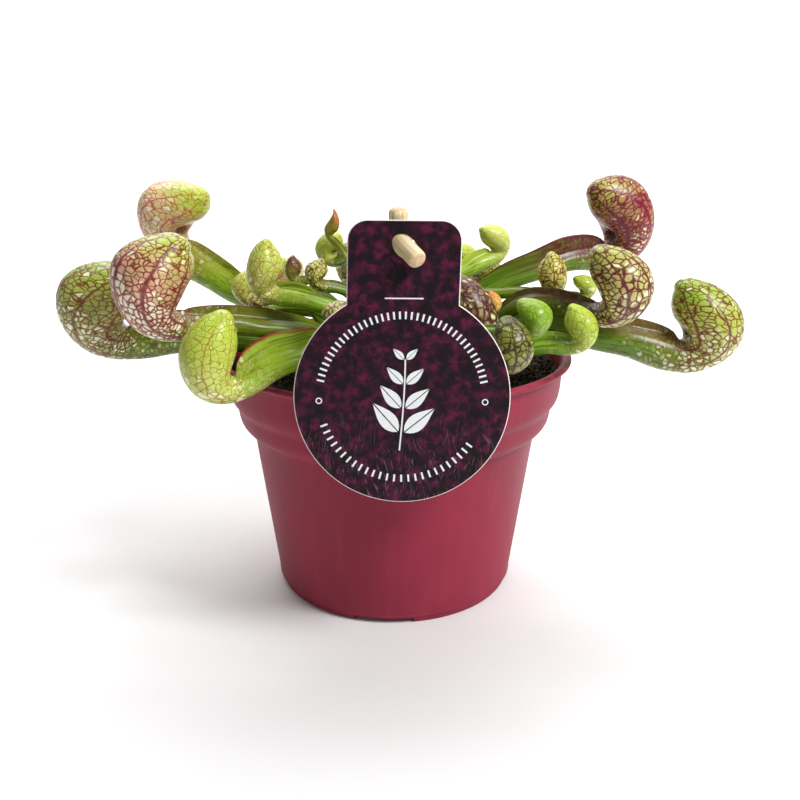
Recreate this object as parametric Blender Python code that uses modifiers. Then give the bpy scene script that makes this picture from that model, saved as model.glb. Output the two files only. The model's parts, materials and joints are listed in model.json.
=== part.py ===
"""Potted pitcher plant: a parrot pitcher plant in a round nursery pot, with a tag hung on a wooden stake.

The tables below are in millimetres and degrees. The scene is in metres, Z up, with the pot's foot on
Z = 0, the pot's axis on the Z axis and the tag on the -Y side.
"""

import math
from collections import namedtuple

import bmesh
import bpy
import numpy as np
from mathutils import Matrix

MM = 0.001
GAP = 0.3  # between two pieces that touch

# Pot: a turned plastic shell with a narrow lip and a collar of two swellings above a tapered body.
POT_STEPS = 44
POT_OUTSIDE = (
    (57.4, 82.2), (59.2, 82.2), (60.0, 81.5), (59.7, 80.6), (57.3, 80.1), (56.9, 76.0), (56.6, 71.4),
    (56.0, 68.6), (53.9, 65.8), (53.6, 62.8), (53.0, 60.4), (51.5, 58.4), (48.8, 56.8),
    (41.9, 5.2), (41.1, 3.8), (40.9, 0.6), (40.5, 0.0), (37.8, 0.0), (37.6, 2.0), (0.0, 2.0),
)
POT_INSIDE = (
    (0.0, 3.4), (39.6, 3.4), (40.5, 5.6), (47.3, 56.2), (49.9, 59.4), (51.7, 61.4), (52.2, 63.6),
    (52.5, 66.6), (54.6, 69.3), (55.3, 72.0), (55.7, 76.0), (56.3, 80.8),
)
FOOT_NOTCHES = 4
FOOT_NOTCH_FIRST = -95.0
FOOT_NOTCH = (20.0, 9.0, 1.6)  # width round the foot, depth across it, height
DRAIN_HOLES = 4
DRAIN_HOLE_RADIUS = 3.0
DRAIN_RING_RADIUS = 27.0
DRAIN_BORE_FOOT, DRAIN_BORE_LENGTH = 0.7, 4.0  # the cutter reaches past both faces of the base
DRAIN_STEPS = 16

# Peat: fills the pot to a little below the lip and has a well in the middle for the rhizome.
PEAT_STEPS = 36
PEAT_PROFILE = (
    (0.0, 66.0), (12.6, 66.0), (12.6, 75.4), (20.0, 75.9), (32.0, 75.5), (44.0, 75.8), (52.0, 77.2),
    (55.1, 78.0), (54.9, 72.2), (54.2, 69.7), (52.0, 67.0), (51.8, 63.6), (51.2, 61.7), (49.4, 59.8),
    (46.8, 56.4), (40.0, 5.8), (39.2, 3.8), (0.0, 3.8),
)

# Rhizome: the short woody crown that every pitcher grows from.
RHIZOME_STEPS = 24
RHIZOME_CENTRE_Z = 75.0
RHIZOME_RADIUS = 12.0
RHIZOME_HEIGHT = 11.0
RHIZOME_FOOT_Z = 66.4

RHIZOME_ARC = (90, 72, 54, 36, 18, 0)
RHIZOME_PLUG_EASE = 0.5  # how much slimmer the plug is than the dome

# Stake and peg: wooden dowels. The stake leans towards the tag; the peg holds the tag up.
DOWEL_STEPS = 20
CORNER_SHARE = 0.3  # how far a rounded corner's middle point lies from the sharp corner
STAKE_RADIUS = 2.7
STAKE_FOOT = (1.1, -39.3, 30.0)
STAKE_LENGTH = 105.6
STAKE_LEAN = 6.84
STAKE_ROUNDING = 1.5
PEG_RADIUS = 2.6
PEG_LENGTH = 12.2
PEG_ROUNDING = 1.5  # of the worn free end
PEG_BACK = (0.4, -52.9, 127.1)
PEG_TURN = 34.0  # to the right of straight forward
PEG_DROP = 25.0

# Tag: a thin card, a disc with a straight neck, leaning back from the pot's lip to the peg.
TAG_THICKNESS = 0.6
TAG_DISC_RADIUS = 30.3
TAG_DISC_CENTRE = (-0.3, 2.6)
TAG_NECK_HALF = 15.5
TAG_NECK_TOP = 51.4
TAG_CORNER = 5.6
TAG_AT = (2.4, -61.0, 81.0)
TAG_LEAN = 5.6
TAG_ROLL = 0.5
TAG_DISC_STEPS, TAG_CORNER_STEPS = 41, 6

# Side view of a pitcher's hood, in hood lengths: u runs out along the tube and v towards its upper
# side, from the notch where the wing meets the hood. Each row is the outer wall, the inner wall and
# half the width of one ring, from the tube to the beak.
HOOD_RINGS = np.array((
    (-0.600, -0.215, -0.600, 0.035, 0.130),
    (-0.100, -0.320, -0.120, -0.015, 0.180),
    (0.130, -0.315, -0.030, -0.020, 0.225),
    (0.330, -0.235, 0.000, -0.005, 0.275),
    (0.480, -0.090, 0.000, 0.020, 0.320),
    (0.565, 0.100, -0.030, 0.070, 0.355),
    (0.565, 0.300, -0.090, 0.140, 0.370),
    (0.490, 0.465, -0.150, 0.225, 0.350),
    (0.340, 0.590, -0.200, 0.320, 0.300),
    (0.150, 0.660, -0.225, 0.420, 0.225),
    (-0.130, 0.662, -0.225, 0.550, 0.100),
))
BEAK_TIP = (-0.185, 0.615)
BEND_STARTS = 0.3  # share of the hood below which curl has no effect
NECK_AT, NECK_SPREAD = 0.20, 0.13
NECK_FIRST_RING = 4
JOINT = (-0.60, -0.09)  # where the tube meets the hood
WING_FADE = (1.0, 0.6, 0.0)  # the wing's height over the first hood rings
TUBE_RINGS = 6
TUBE_HALF_DEPTH, TUBE_HALF_WIDTH = 0.125, 0.130
TUBE_BLEND = 3
TUBE_GROWTH = 1.2
STOUT_FROM = 12.0  # pitchers with a longer hood than this have the stouter root
STOUT_ROOT, SLIM_ROOT = 1.7, 1.35
WING_START = 0.05
WING_GROWTH = 1.3
ROOT_GAP = 0.4  # between a pitcher and the rhizome
# Angles round a ring from its upper side: the wing stands on the first one.
RING_ANGLES = (0.0, 26.0, 80.0, 132.0, 180.0, 228.0, 280.0, 334.0)

# One row for each pitcher. at: the notch; turn: heading round the pot from +X, rise above level and
# roll; size: hood length; tall, deep, wide: the hood's height, depth and width against the side view;
# curl: bend of the beak; neck: waist above the notch; wing: its height in hood lengths; tube: its
# thickness; root: heading and height angle on the rhizome; handle: the point the tube first heads for;
# pull: how far back from the hood the tube's curve is straight, as a share of its span.
Pitcher = namedtuple(
    "Pitcher", "name at turn size tall deep wide curl neck wing tube root handle pull tint"
)
PITCHERS = (
    Pitcher("pitcher_left_1", (-90, -8, 92), (-177, 5, -11), 35.0,
            0.9, 1.15, 1.0, -1, 0.0, 0.19, 1.0, (-173, 18), (-37, -4, 88), 0.4, "cream"),
    Pitcher("pitcher_left_2", (-66, -32, 103), (-156, 12, -7), 33.5,
            1.0, 1.1, 1.0, -22, 0.05, 0.11, 0.75, (-156, 31), (-30, -14, 95), 0.45, "maroon"),
    Pitcher("pitcher_left_3", (-76, 25, 117), (157, 36, -4), 33.0,
            0.9, 0.95, 1.0, -20, 0.1, 0.09, 1.25, (152, 43), (-25, 14, 101), 0.4, "pale"),
    Pitcher("pitcher_left_4", (-47, -50, 87), (-163, -15, 1), 24.0,
            1.25, 0.85, 1.0, 0, 0.0, 0.29, 1.0, (-137, 19), (-27, -25, 88), 0.35, "green"),
    Pitcher("pitcher_left_5", (-37, -22, 108), (176, 18, -7), 17.5,
            1.35, 0.75, 1.0, -38, 0.0, 0.05, 1.1, (-137, 45), (-19, -18, 102), 0.4, "pale"),
    Pitcher("pitcher_left_6", (-47, 4, 101), (179, -5, 1), 15.0,
            0.85, 0.9, 1.0, -5, 0.0, 0.17, 1.1, (166, 25), (-34, 7, 92), 0.4, "pale"),
    Pitcher("pitcher_right_1", (77, 25, 115), (24, 11, 8), 30.0,
            1.2, 1.0, 0.9, 4, 0.05, 0.21, 0.85, (31, 41), (25, 15, 99), 0.35, "maroon"),
    Pitcher("pitcher_right_2", (93, -18, 90), (0, -7, 2), 31.5,
            0.95, 0.9, 0.95, -4, 0.0, 0.1, 1.25, (0, 28), (34, 0, 97), 0.35, "cream"),
    Pitcher("pitcher_right_3", (64, -25, 104), (-21, -3, 8), 26.5,
            1.0, 0.95, 1.0, -6, 0.05, 0.08, 0.8, (-20, 18), (38, -9, 85), 0.4, "maroon"),
    Pitcher("pitcher_right_4", (54, -34, 94), (-10, 12, -2), 14.5,
            1.15, 0.8, 1.0, -22, 0.0, 0.21, 1.05, (-41, 18), (31, -25, 79), 0.4, "green"),
    Pitcher("pitcher_right_9", (34, 12, 114), (29, 26, 1), 13.5,
            1.15, 0.75, 0.9, -9, 0.0, 0.2, 1.45, (35, 63), (13, 9, 108), 0.4, "pale"),
    Pitcher("pitcher_right_5", (39, -42, 100), (-34, 13, -5), 13.5,
            0.9, 0.95, 1.0, -8, 0.05, 0.07, 0.95, (-60, 47), (0, -30, 105), 0.4, "green"),
    Pitcher("pitcher_right_6", (32, -49, 93), (-65, -5, 4), 16.5,
            1.1, 0.8, 1.0, -14, 0.0, 0.1, 1.0, (-64, 18), (12, -39, 77), 0.25, "olive"),
    Pitcher("pitcher_right_7", (48, -8, 105), (-15, 6, 0), 15.0,
            1.25, 0.8, 1.0, -33, 0.0, 0.03, 0.95, (-7, 50), (23, 0, 104), 0.4, "maroon"),
    Pitcher("pitcher_right_8", (66, 15, 99), (16, 8, 0), 10.5,
            0.9, 0.9, 1.0, 1, 0.0, 0.11, 1.0, (20, 24), (29, 11, 89), 0.4, "green"),
    Pitcher("pitcher_right_10", (25, -18, 94), (-72, 11, 24), 22.0,
            1.25, 1.0, 0.9, -2, 0.0, 0.15, 1.0, (-80, 33), (9, -33, 95), 0.4, "maroon"),
    Pitcher("pitcher_right_11", (31, -16, 100), (-30, 20, 0), 7.0,
            1.2, 0.7, 1.0, -30, 0.05, 0.1, 1.0, (-34, 61), (11, -6, 106), 0.4, "olive"),
    Pitcher("pitcher_left_7", (-43, -8, 99), (-172, -2, 1), 9.0,
            0.75, 0.9, 1.0, -2, 0.05, 0.03, 1.0, (-177, 37), (-26, -2, 96), 0.4, "cream"),
    Pitcher("pitcher_left_8", (-33, 8, 106), (164, 11, -1), 9.0,
            1.3, 0.7, 1.0, -40, 0.0, 0.11, 0.9, (166, 60), (-15, 4, 103), 0.4, "green"),
    Pitcher("pitcher_left_9", (-24, -6, 107), (-166, 21, -3), 11.0,
            1.0, 0.9, 1.0, -33, 0.0, 0.11, 1.1, (-165, 54), (-18, -5, 102), 0.4, "maroon"),
    Pitcher("pitcher_left_10", (-21, 22, 111), (124, -7, -8), 13.5,
            0.95, 1.0, 1.1, 5, 0.05, 0.17, 0.8, (128, 61), (-10, 13, 107), 0.45, "green"),
    Pitcher("pitcher_left_11", (-17, -27, 99), (-138, 8, 0), 10.5,
            0.8, 0.9, 1.0, 1, 0.05, 0.1, 1.0, (-118, 26), (-14, -27, 90), 0.4, "cream"),
    Pitcher("pitcher_left_12", (-21, 8, 120), (150, 50, -3), 8.0,
            1.9, 0.4, 0.6, -55, 0.0, 0.09, 1.0, (159, 77), (-7, 2, 106), 0.4, "olive"),
    Pitcher("pitcher_back_1", (-14, 49, 99), (108, 12, 0), 22.0,
            0.95, 0.95, 1.0, 0, 0.05, 0.18, 1.0, (105, 46), (-7, 25, 103), 0.4, "green"),
    Pitcher("pitcher_back_2", (10, 52, 97), (80, 5, 0), 24.0,
            0.95, 0.95, 1.0, 0, 0.05, 0.18, 1.0, (80, 28), (6, 34, 94), 0.4, "olive"),
    Pitcher("pitcher_back_3", (25, 37, 104), (60, 20, 0), 14.5,
            0.95, 0.95, 1.0, 0, 0.05, 0.18, 1.0, (58, 48), (13, 21, 103), 0.4, "green"),
    Pitcher("pitcher_back_4", (-41, 52, 91), (128, -2, 0), 23.5,
            0.95, 0.95, 1.0, 0, 0.05, 0.18, 1.0, (129, 27), (-22, 27, 93), 0.4, "pale"),
    Pitcher("pitcher_back_5", (34, 53, 92), (60, -4, 0), 22.5,
            0.95, 0.95, 1.0, 0, 0.05, 0.18, 1.0, (58, 26), (19, 29, 93), 0.4, "green"),
    Pitcher("pitcher_back_6", (2, 33, 112), (92, 38, 0), 14.0,
            0.95, 0.95, 1.0, 0, 0.05, 0.18, 1.0, (83, 66), (2, 14, 109), 0.4, "olive"),
    Pitcher("pitcher_front_1", (-4, -39, 86), (-97, 5, 0), 10.0,
            0.95, 0.95, 1.0, 0, 0.05, 0.18, 1.0, (-100, 26), (-5, -30, 90), 0.4, "green"),
)

# Colour and roughness of each surface.
SURFACES = {
    "pot": ((0.20, 0.030, 0.045), 0.5),
    "peat": ((0.030, 0.018, 0.012), 0.95),
    "rhizome": ((0.16, 0.10, 0.05), 0.85),
    "tag": ((0.055, 0.012, 0.035), 0.45),
    "wood": ((0.72, 0.56, 0.36), 0.7),
    "green": ((0.27, 0.42, 0.07), 0.35),
    "pale": ((0.55, 0.58, 0.25), 0.35),
    "cream": ((0.62, 0.55, 0.36), 0.35),
    "olive": ((0.30, 0.28, 0.07), 0.35),
    "maroon": ((0.28, 0.05, 0.07), 0.35),
}
SMOOTH_UNDER = 40.0  # edges blunter than this are shaded smooth


def clear_scene():
    for thing in list(bpy.data.objects):
        bpy.data.objects.remove(thing, do_unlink=True)


def new_collection(name):
    collection = bpy.data.collections.new(name)
    bpy.context.scene.collection.children.link(collection)
    return collection


def metres(points):
    return np.asarray(points, float) * MM


def unit(vector):
    return vector / np.linalg.norm(vector)


def material(name, colour, roughness):
    made = bpy.data.materials.new(name)
    made.use_nodes = True
    surface = made.node_tree.nodes["Principled BSDF"]
    surface.inputs["Base Color"].default_value = (*colour, 1.0)
    surface.inputs["Roughness"].default_value = roughness
    surface.inputs["Metallic"].default_value = 0.0
    return made


def new_object(name, points, faces, collection):
    """A mesh object from points in millimetres."""
    mesh = bpy.data.meshes.new(name)
    mesh.from_pydata(metres(points).tolist(), [], faces)
    mesh.update()
    made = bpy.data.objects.new(name, mesh)
    collection.objects.link(made)
    return made


def finish(made, surface):
    made.data.materials.clear()
    made.data.materials.append(material(made.name + "_surface", *SURFACES[surface]))


def turned(name, profile, steps, collection):
    """A solid turned about Z. The profile runs from the axis, over the top and down the outside."""
    points = [(radius, 0.0, height) for radius, height in profile]
    edges = [(i, i + 1) for i in range(len(points) - 1)]
    mesh = bpy.data.meshes.new(name)
    mesh.from_pydata(metres(points).tolist(), edges, [])
    made = bpy.data.objects.new(name, mesh)
    collection.objects.link(made)
    screw = made.modifiers.new("turn", "SCREW")
    screw.axis = "Z"
    screw.steps = screw.render_steps = steps
    screw.use_merge_vertices = True
    screw.merge_threshold = 0.00001
    return made


def dowel(name, radius, length, rounding, steps, collection):
    """A round stick along +Z with a rounded far end."""
    inset = CORNER_SHARE * rounding
    profile = [(0.0, length), (radius - rounding, length)]
    profile += [(radius - inset, length - inset), (radius, length - rounding)]
    profile += [(radius, 0.0), (0.0, 0.0)]
    return turned(name, profile, steps, collection)


def cut(made, cutter):
    """Takes the cutter, an object or a collection of them, out of the solid."""
    boolean = made.modifiers.new("cut", "BOOLEAN")
    boolean.operation = "DIFFERENCE"
    boolean.solver = "EXACT"
    if isinstance(cutter, bpy.types.Collection):
        boolean.operand_type = "COLLECTION"
        boolean.collection = cutter
    else:
        boolean.object = cutter


def as_cutter(made):
    made.hide_render = True
    made.display_type = "WIRE"
    return made


def block(name, size, collection):
    """A box centred on its own origin."""
    mesh = bpy.data.meshes.new(name)
    shape = bmesh.new()
    bmesh.ops.create_cube(shape, size=1.0)
    bmesh.ops.scale(shape, vec=metres(size), verts=shape.verts)
    shape.to_mesh(mesh)
    shape.free()
    made = bpy.data.objects.new(name, mesh)
    collection.objects.link(made)
    return made


def pot(parts, cutters):
    made = turned("pot", POT_INSIDE + POT_OUTSIDE, POT_STEPS, parts)
    bores = bpy.data.collections.new("pot_cuts")
    cutters.children.link(bores)
    foot_radius = POT_OUTSIDE[-4][0]
    for index in range(FOOT_NOTCHES):
        turn = math.radians(FOOT_NOTCH_FIRST + 360 * index / FOOT_NOTCHES)
        width, depth, height = FOOT_NOTCH
        notch = as_cutter(block(f"foot_notch_{index}", (depth, width, 2 * height), bores))
        notch.location = metres((foot_radius * math.cos(turn), foot_radius * math.sin(turn), 0.0))
        notch.rotation_euler[2] = turn
    for index in range(DRAIN_HOLES):
        turn = math.radians(FOOT_NOTCH_FIRST + 360 * (index + 0.5) / DRAIN_HOLES)
        hole = dowel(f"drain_{index}", DRAIN_HOLE_RADIUS, DRAIN_BORE_LENGTH, GAP, DRAIN_STEPS, bores)
        hole.location = metres(
            (DRAIN_RING_RADIUS * math.cos(turn), DRAIN_RING_RADIUS * math.sin(turn), DRAIN_BORE_FOOT)
        )
        as_cutter(hole)
    cut(made, bores)
    finish(made, "pot")


def stake_like(name, extra, collection):
    """The stake, or with extra millimetres all round the space it needs."""
    radius, length = STAKE_RADIUS + extra, STAKE_LENGTH + extra
    made = dowel(name, radius, length, STAKE_ROUNDING, DOWEL_STEPS, collection)
    made.location = metres(STAKE_FOOT)
    made.rotation_euler[0] = math.radians(STAKE_LEAN)
    return made


def peg_like(name, extra, collection):
    """The peg, or with extra millimetres all round the space it needs."""
    radius, length = PEG_RADIUS + extra, PEG_LENGTH + extra
    made = dowel(name, radius, length, PEG_ROUNDING, DOWEL_STEPS, collection)
    made.location = metres(PEG_BACK)
    made.rotation_euler = (math.radians(90 + PEG_DROP), 0.0, math.radians(PEG_TURN))
    return made


def peat(parts, cutters):
    made = turned("peat", PEAT_PROFILE, PEAT_STEPS, parts)
    hole = as_cutter(stake_like("stake_space", GAP, cutters))
    hole.location[2] -= GAP * MM
    cut(made, hole)
    finish(made, "peat")


def rhizome(parts):
    """A dome with a straight plug below it that sits in the peat's well."""
    profile = [
        (RHIZOME_RADIUS * math.cos(angle), RHIZOME_CENTRE_Z + RHIZOME_HEIGHT * math.sin(angle))
        for angle in map(math.radians, RHIZOME_ARC)
    ]
    profile[0] = (0.0, RHIZOME_CENTRE_Z + RHIZOME_HEIGHT)
    profile += [(RHIZOME_RADIUS - RHIZOME_PLUG_EASE, RHIZOME_FOOT_Z), (0.0, RHIZOME_FOOT_Z)]
    made = turned("rhizome", profile, RHIZOME_STEPS, parts)
    finish(made, "rhizome")


def tag_outline():
    """Round the disc from where the neck leaves it, then up the neck and across its rounded top."""
    centre_x, centre_y = TAG_DISC_CENTRE
    leave = math.asin(TAG_NECK_HALF / TAG_DISC_RADIUS)
    start, end = math.pi / 2 - leave, -3 * math.pi / 2 + leave
    outline = [
        (centre_x + TAG_DISC_RADIUS * math.cos(a), centre_y + TAG_DISC_RADIUS * math.sin(a))
        for a in np.linspace(start, end, TAG_DISC_STEPS)
    ]
    corner_y = TAG_NECK_TOP - TAG_CORNER
    for side, first, last in ((-1, math.pi, math.pi / 2), (1, math.pi / 2, 0.0)):
        corner_x = side * (TAG_NECK_HALF - TAG_CORNER)
        outline += [
            (corner_x + TAG_CORNER * math.cos(a), corner_y + TAG_CORNER * math.sin(a))
            for a in np.linspace(first, last, TAG_CORNER_STEPS)
        ]
    return outline


def tag(parts, cutters):
    """A flat outline given the card's thickness, hung on the peg through a hole of its own."""
    outline = tag_outline()
    curve = bpy.data.curves.new("tag_outline", "CURVE")
    curve.dimensions = "2D"
    curve.fill_mode = "BOTH"
    curve.extrude = TAG_THICKNESS / 2 * MM
    line = curve.splines.new("POLY")
    line.points.add(len(outline) - 1)
    for point, (x, y) in zip(line.points, outline):
        point.co = (x * MM, y * MM, 0.0, 1.0)
    line.use_cyclic_u = True
    flat = bpy.data.objects.new("tag_flat", curve)
    parts.objects.link(flat)
    graph = bpy.context.evaluated_depsgraph_get()
    mesh = bpy.data.meshes.new_from_object(flat.evaluated_get(graph))
    bpy.data.objects.remove(flat, do_unlink=True)
    shape = bmesh.new()
    shape.from_mesh(mesh)
    bmesh.ops.remove_doubles(shape, verts=shape.verts, dist=0.000001)
    bmesh.ops.recalc_face_normals(shape, faces=shape.faces)
    shape.to_mesh(mesh)
    shape.free()
    mesh.name = "tag"
    made = bpy.data.objects.new("tag", mesh)
    parts.objects.link(made)
    lean = Matrix.Rotation(math.radians(90 - TAG_LEAN), 4, "X")
    roll = Matrix.Rotation(math.radians(-TAG_ROLL), 4, "Z")
    inwards = Matrix.Translation((0.0, 0.0, -TAG_THICKNESS / 2 * MM))
    made.matrix_world = Matrix.Translation(metres(TAG_AT)) @ lean @ roll @ inwards
    cut(made, as_cutter(peg_like("peg_space", GAP, cutters)))
    finish(made, "tag")


def stake(parts):
    finish(stake_like("tag_stake", 0.0, parts), "wood")


def peg(parts, cutters):
    """The peg's back is hollowed to the stake's round side."""
    made = peg_like("tag_peg", 0.0, parts)
    cut(made, as_cutter(stake_like("stake_side", GAP, cutters)))
    finish(made, "wood")


def pitcher_axes(turn):
    """Out along the tube, towards its upper side, and across."""
    heading, rise, roll = map(math.radians, turn)
    out = np.array(
        (math.cos(heading) * math.cos(rise), math.sin(heading) * math.cos(rise), math.sin(rise))
    )
    level_up = np.array(
        (-math.cos(heading) * math.sin(rise), -math.sin(heading) * math.sin(rise), math.cos(rise))
    )
    upper = level_up * math.cos(roll) + np.cross(out, level_up) * math.sin(roll)
    return out, upper, np.cross(out, upper)


def hood_side(row):
    """The hood's outer and inner walls and its beak in the side view, shaped for one pitcher."""
    outer, inner = HOOD_RINGS[:, 0:2].copy(), HOOD_RINGS[:, 2:4].copy()
    width = HOOD_RINGS[:, 4] * row.wide
    bend = np.clip((np.linspace(0, 1, len(outer) + 1) - BEND_STARTS) / (1 - BEND_STARTS), 0, 1)
    bend = bend * bend * (3 - 2 * bend)
    past_neck = np.arange(len(outer)) >= NECK_FIRST_RING
    inner[:, 0] += row.neck * np.exp(-(((inner[:, 1] - NECK_AT) / NECK_SPREAD) ** 2)) * past_neck
    outer = inner + (outer - inner) * (1 + (row.deep - 1) * bend[:-1])[:, None]
    tip = np.array((BEAK_TIP[0], BEAK_TIP[1] * row.tall))
    for wall in (outer, inner):
        wall[:, 1] = np.where(wall[:, 1] > 0, wall[:, 1] * row.tall, wall[:, 1])
    for wall in (outer, inner):
        for index in range(len(wall)):
            wall[index] = turned_point(wall[index], row.curl * bend[index])
    return outer, inner, width, turned_point(tip, row.curl)


def turned_point(point, degrees):
    c, s = math.cos(math.radians(degrees)), math.sin(math.radians(degrees))
    return np.array((point[0] * c - point[1] * s, point[0] * s + point[1] * c))


def root_of(row):
    """Where the tube starts on the rhizome, its way out of it and its upper side."""
    heading, rise = map(math.radians, row.root)
    round_way = np.array((math.cos(heading), math.sin(heading)))
    normal = np.array((*(round_way * math.cos(rise)), math.sin(rise)))
    radii = np.array((RHIZOME_RADIUS, RHIZOME_RADIUS, RHIZOME_HEIGHT))
    way = unit(normal / radii)
    start = np.array((0, 0, RHIZOME_CENTRE_Z)) + radii * normal + way * ROOT_GAP
    return start, way, np.array((*(-round_way * math.sin(rise)), math.cos(rise)))


def tube_rings(row, notch, out, upper):
    """(centre, half depth, half width, wing) of each ring from the rhizome to the hood."""
    start, way, root_upper = root_of(row)
    size = row.size
    joint = notch + out * JOINT[0] * size + upper * JOINT[1] * size
    second = joint - out * np.linalg.norm(joint - start) * row.pull
    first = np.array(row.handle, float)
    start_radius = STOUT_ROOT if size > STOUT_FROM else SLIM_ROOT
    rings = []
    for t in np.linspace(0, 1, TUBE_RINGS, endpoint=False):
        s = 1 - t
        centre = s**3 * start + 3 * s * s * t * first + 3 * s * t * t * second + t**3 * joint
        along = s * s * (first - start) + 2 * s * t * (second - first) + t * t * (joint - second)
        along = unit(along) if t else way
        side = root_upper * s + upper * t
        side = unit(side - along * (side @ along))
        growth = t**TUBE_GROWTH
        depth = start_radius + (TUBE_HALF_DEPTH * size * row.tube - start_radius) * growth
        width = start_radius + (TUBE_HALF_WIDTH * size - start_radius) * growth
        rise = max(0.0, (t - WING_START) / (1 - WING_START))
        wing = row.wing * size * math.sin(rise * math.pi / 2) ** WING_GROWTH
        rings.append((centre, side * depth, np.cross(along, side) * width, side * wing))
    return rings


def hood_rings(row, notch, out, upper, across):
    outer, inner, width, tip = hood_side(row)
    size = row.size
    rings = []
    for index in range(len(outer)):
        blend = 1 + (row.tube - 1) * max(0.0, 1 - index / TUBE_BLEND)
        middle, half = (outer[index] + inner[index]) / 2, (inner[index] - outer[index]) / 2 * blend
        centre = notch + (out * middle[0] + upper * middle[1]) * size
        chord = (out * half[0] + upper * half[1]) * size
        wing = row.wing * size * WING_FADE[index] if index < len(WING_FADE) else 0.0
        rings.append((centre, chord, across * width[index] * size * blend, upper * wing))
    return rings, notch + (out * tip[0] + upper * tip[1]) * size


def pitcher(row, parts):
    """A tube that widens into a hood curled back over its own wing, closed at the root."""
    notch = np.array(row.at, float)
    out, upper, across = pitcher_axes(row.turn)
    hood, tip = hood_rings(row, notch, out, upper, across)
    rings = tube_rings(row, notch, out, upper) + hood
    points = []
    for centre, deep, wide, wing in rings:
        for index, angle in enumerate(map(math.radians, RING_ANGLES)):
            ridge = wing if index == 0 else 0.0
            points.append(centre + deep * math.cos(angle) + wide * math.sin(angle) + ridge)
    sides, last = len(RING_ANGLES), len(points) - len(RING_ANGLES)
    points.append(tip)
    faces = [tuple(reversed(range(sides)))]
    for ring in range(len(rings) - 1):
        for side in range(sides):
            here, next_side = ring * sides + side, ring * sides + (side + 1) % sides
            faces.append((here, next_side, next_side + sides, here + sides))
    faces += [(last + k, last + (k + 1) % sides, len(points) - 1) for k in range(sides)]
    made = new_object(row.name, points, faces, parts)
    smooth(made)
    finish(made, row.tint)


def smooth(made):
    made.data.shade_smooth()
    made.data.set_sharp_from_angle(angle=math.radians(SMOOTH_UNDER))


def main():
    clear_scene()
    parts = new_collection("potted_pitcher_plant")
    cutters = new_collection("cutters")
    cutters.hide_render = True
    pot(parts, cutters)
    peat(parts, cutters)
    rhizome(parts)
    stake(parts)
    peg(parts, cutters)
    tag(parts, cutters)
    for row in PITCHERS:
        pitcher(row, parts)


main()
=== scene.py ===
"""Potted parrot pitcher plant: the looks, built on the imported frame.

Tables are in millimetres and degrees, as a grower would measure the plant; meshes are in metres. +Z is
up, the pot's foot stands on Z = 0 with its axis on the Z axis, and the tag hangs on the -Y side.
"""

import json
import math
from collections import namedtuple

import bmesh
import bpy
import numpy as np
from bpy.props import FloatProperty, FloatVectorProperty, IntProperty, PointerProperty
from mathutils import Matrix, Vector


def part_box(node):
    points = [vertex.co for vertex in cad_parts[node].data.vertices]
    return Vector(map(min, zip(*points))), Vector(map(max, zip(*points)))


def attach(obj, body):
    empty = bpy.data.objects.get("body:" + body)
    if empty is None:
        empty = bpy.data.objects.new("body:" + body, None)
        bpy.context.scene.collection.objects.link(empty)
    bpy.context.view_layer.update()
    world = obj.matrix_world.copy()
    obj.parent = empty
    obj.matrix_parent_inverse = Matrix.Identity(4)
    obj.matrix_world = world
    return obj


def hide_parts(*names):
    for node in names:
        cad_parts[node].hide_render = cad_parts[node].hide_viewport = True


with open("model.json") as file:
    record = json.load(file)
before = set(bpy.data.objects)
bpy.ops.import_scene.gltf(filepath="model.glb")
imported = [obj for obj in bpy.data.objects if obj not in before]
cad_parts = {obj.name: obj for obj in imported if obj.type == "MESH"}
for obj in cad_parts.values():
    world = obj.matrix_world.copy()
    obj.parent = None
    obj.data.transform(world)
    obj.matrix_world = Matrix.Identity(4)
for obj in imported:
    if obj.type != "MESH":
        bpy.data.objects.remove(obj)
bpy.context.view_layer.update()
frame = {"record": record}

bl_info = {
    "name": "Potted Pitcher Plant",
    "version": (1, 0, 0),
    "blender": (4, 5, 0),
    "location": "View3D > Sidebar > Plant",
    "description": "Builds a potted pitcher plant with its tag, piece by piece",
    "category": "Object",
}

MM = 0.001
SAME_POINT = 0.002 * MM  # points closer than this are one
BODY = "root"


def tone(red, green, blue):
    """A colour given on a paint chart's 0 to 255 scale, as linear light."""
    parts = (value / 255 for value in (red, green, blue))
    return tuple(p / 12.92 if p <= 0.04045 else ((p + 0.055) / 1.055) ** 2.4 for p in parts)


# ---------------------------------------------------------------------------------------------------
# Shapes
# ---------------------------------------------------------------------------------------------------

# The pot's section, drawn for a lip of 60 mm radius: up the inside, over the lip, down the outside.
DRAWN_LIP_RADIUS = 60.0
POT_SECTION = (
    (0.0, 3.4), (39.6, 3.4), (40.5, 5.6), (47.3, 56.2), (49.9, 59.4), (51.7, 61.4), (52.2, 63.6),
    (52.5, 66.6), (54.6, 69.3), (55.3, 72.0), (55.7, 76.0), (56.3, 80.8),
    (57.4, 82.2), (59.2, 82.2), (60.0, 81.5), (59.7, 80.6), (57.3, 80.1), (56.9, 76.0), (56.6, 71.4),
    (56.0, 68.6), (53.9, 65.8), (53.6, 62.8), (53.0, 60.4), (51.5, 58.4), (48.8, 56.8),
    (41.7, 3.4), (41.9, 3.0), (41.5, 2.6), (41.0, 2.1), (40.8, 0.6), (40.4, 0.0),
    (37.8, 0.0), (37.6, 2.0), (0.0, 2.0),
)
POT_EASE = 1.1  # how far from each corner its rounding starts
FOOT_NOTCHES = 4
FOOT_NOTCH_FIRST = -95.0
FOOT_NOTCH = (20.0, 9.0, 1.6)  # width round the foot, depth across it, height
DRAIN_HOLES = 4
DRAIN_HOLE_RADIUS = 3.0
DRAIN_RING_RADIUS = 27.0
DRILL_FACETS = 40
POT_FLOOR_MIDDLE, DRILL_DEPTH = 2.7, 4.0

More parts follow.
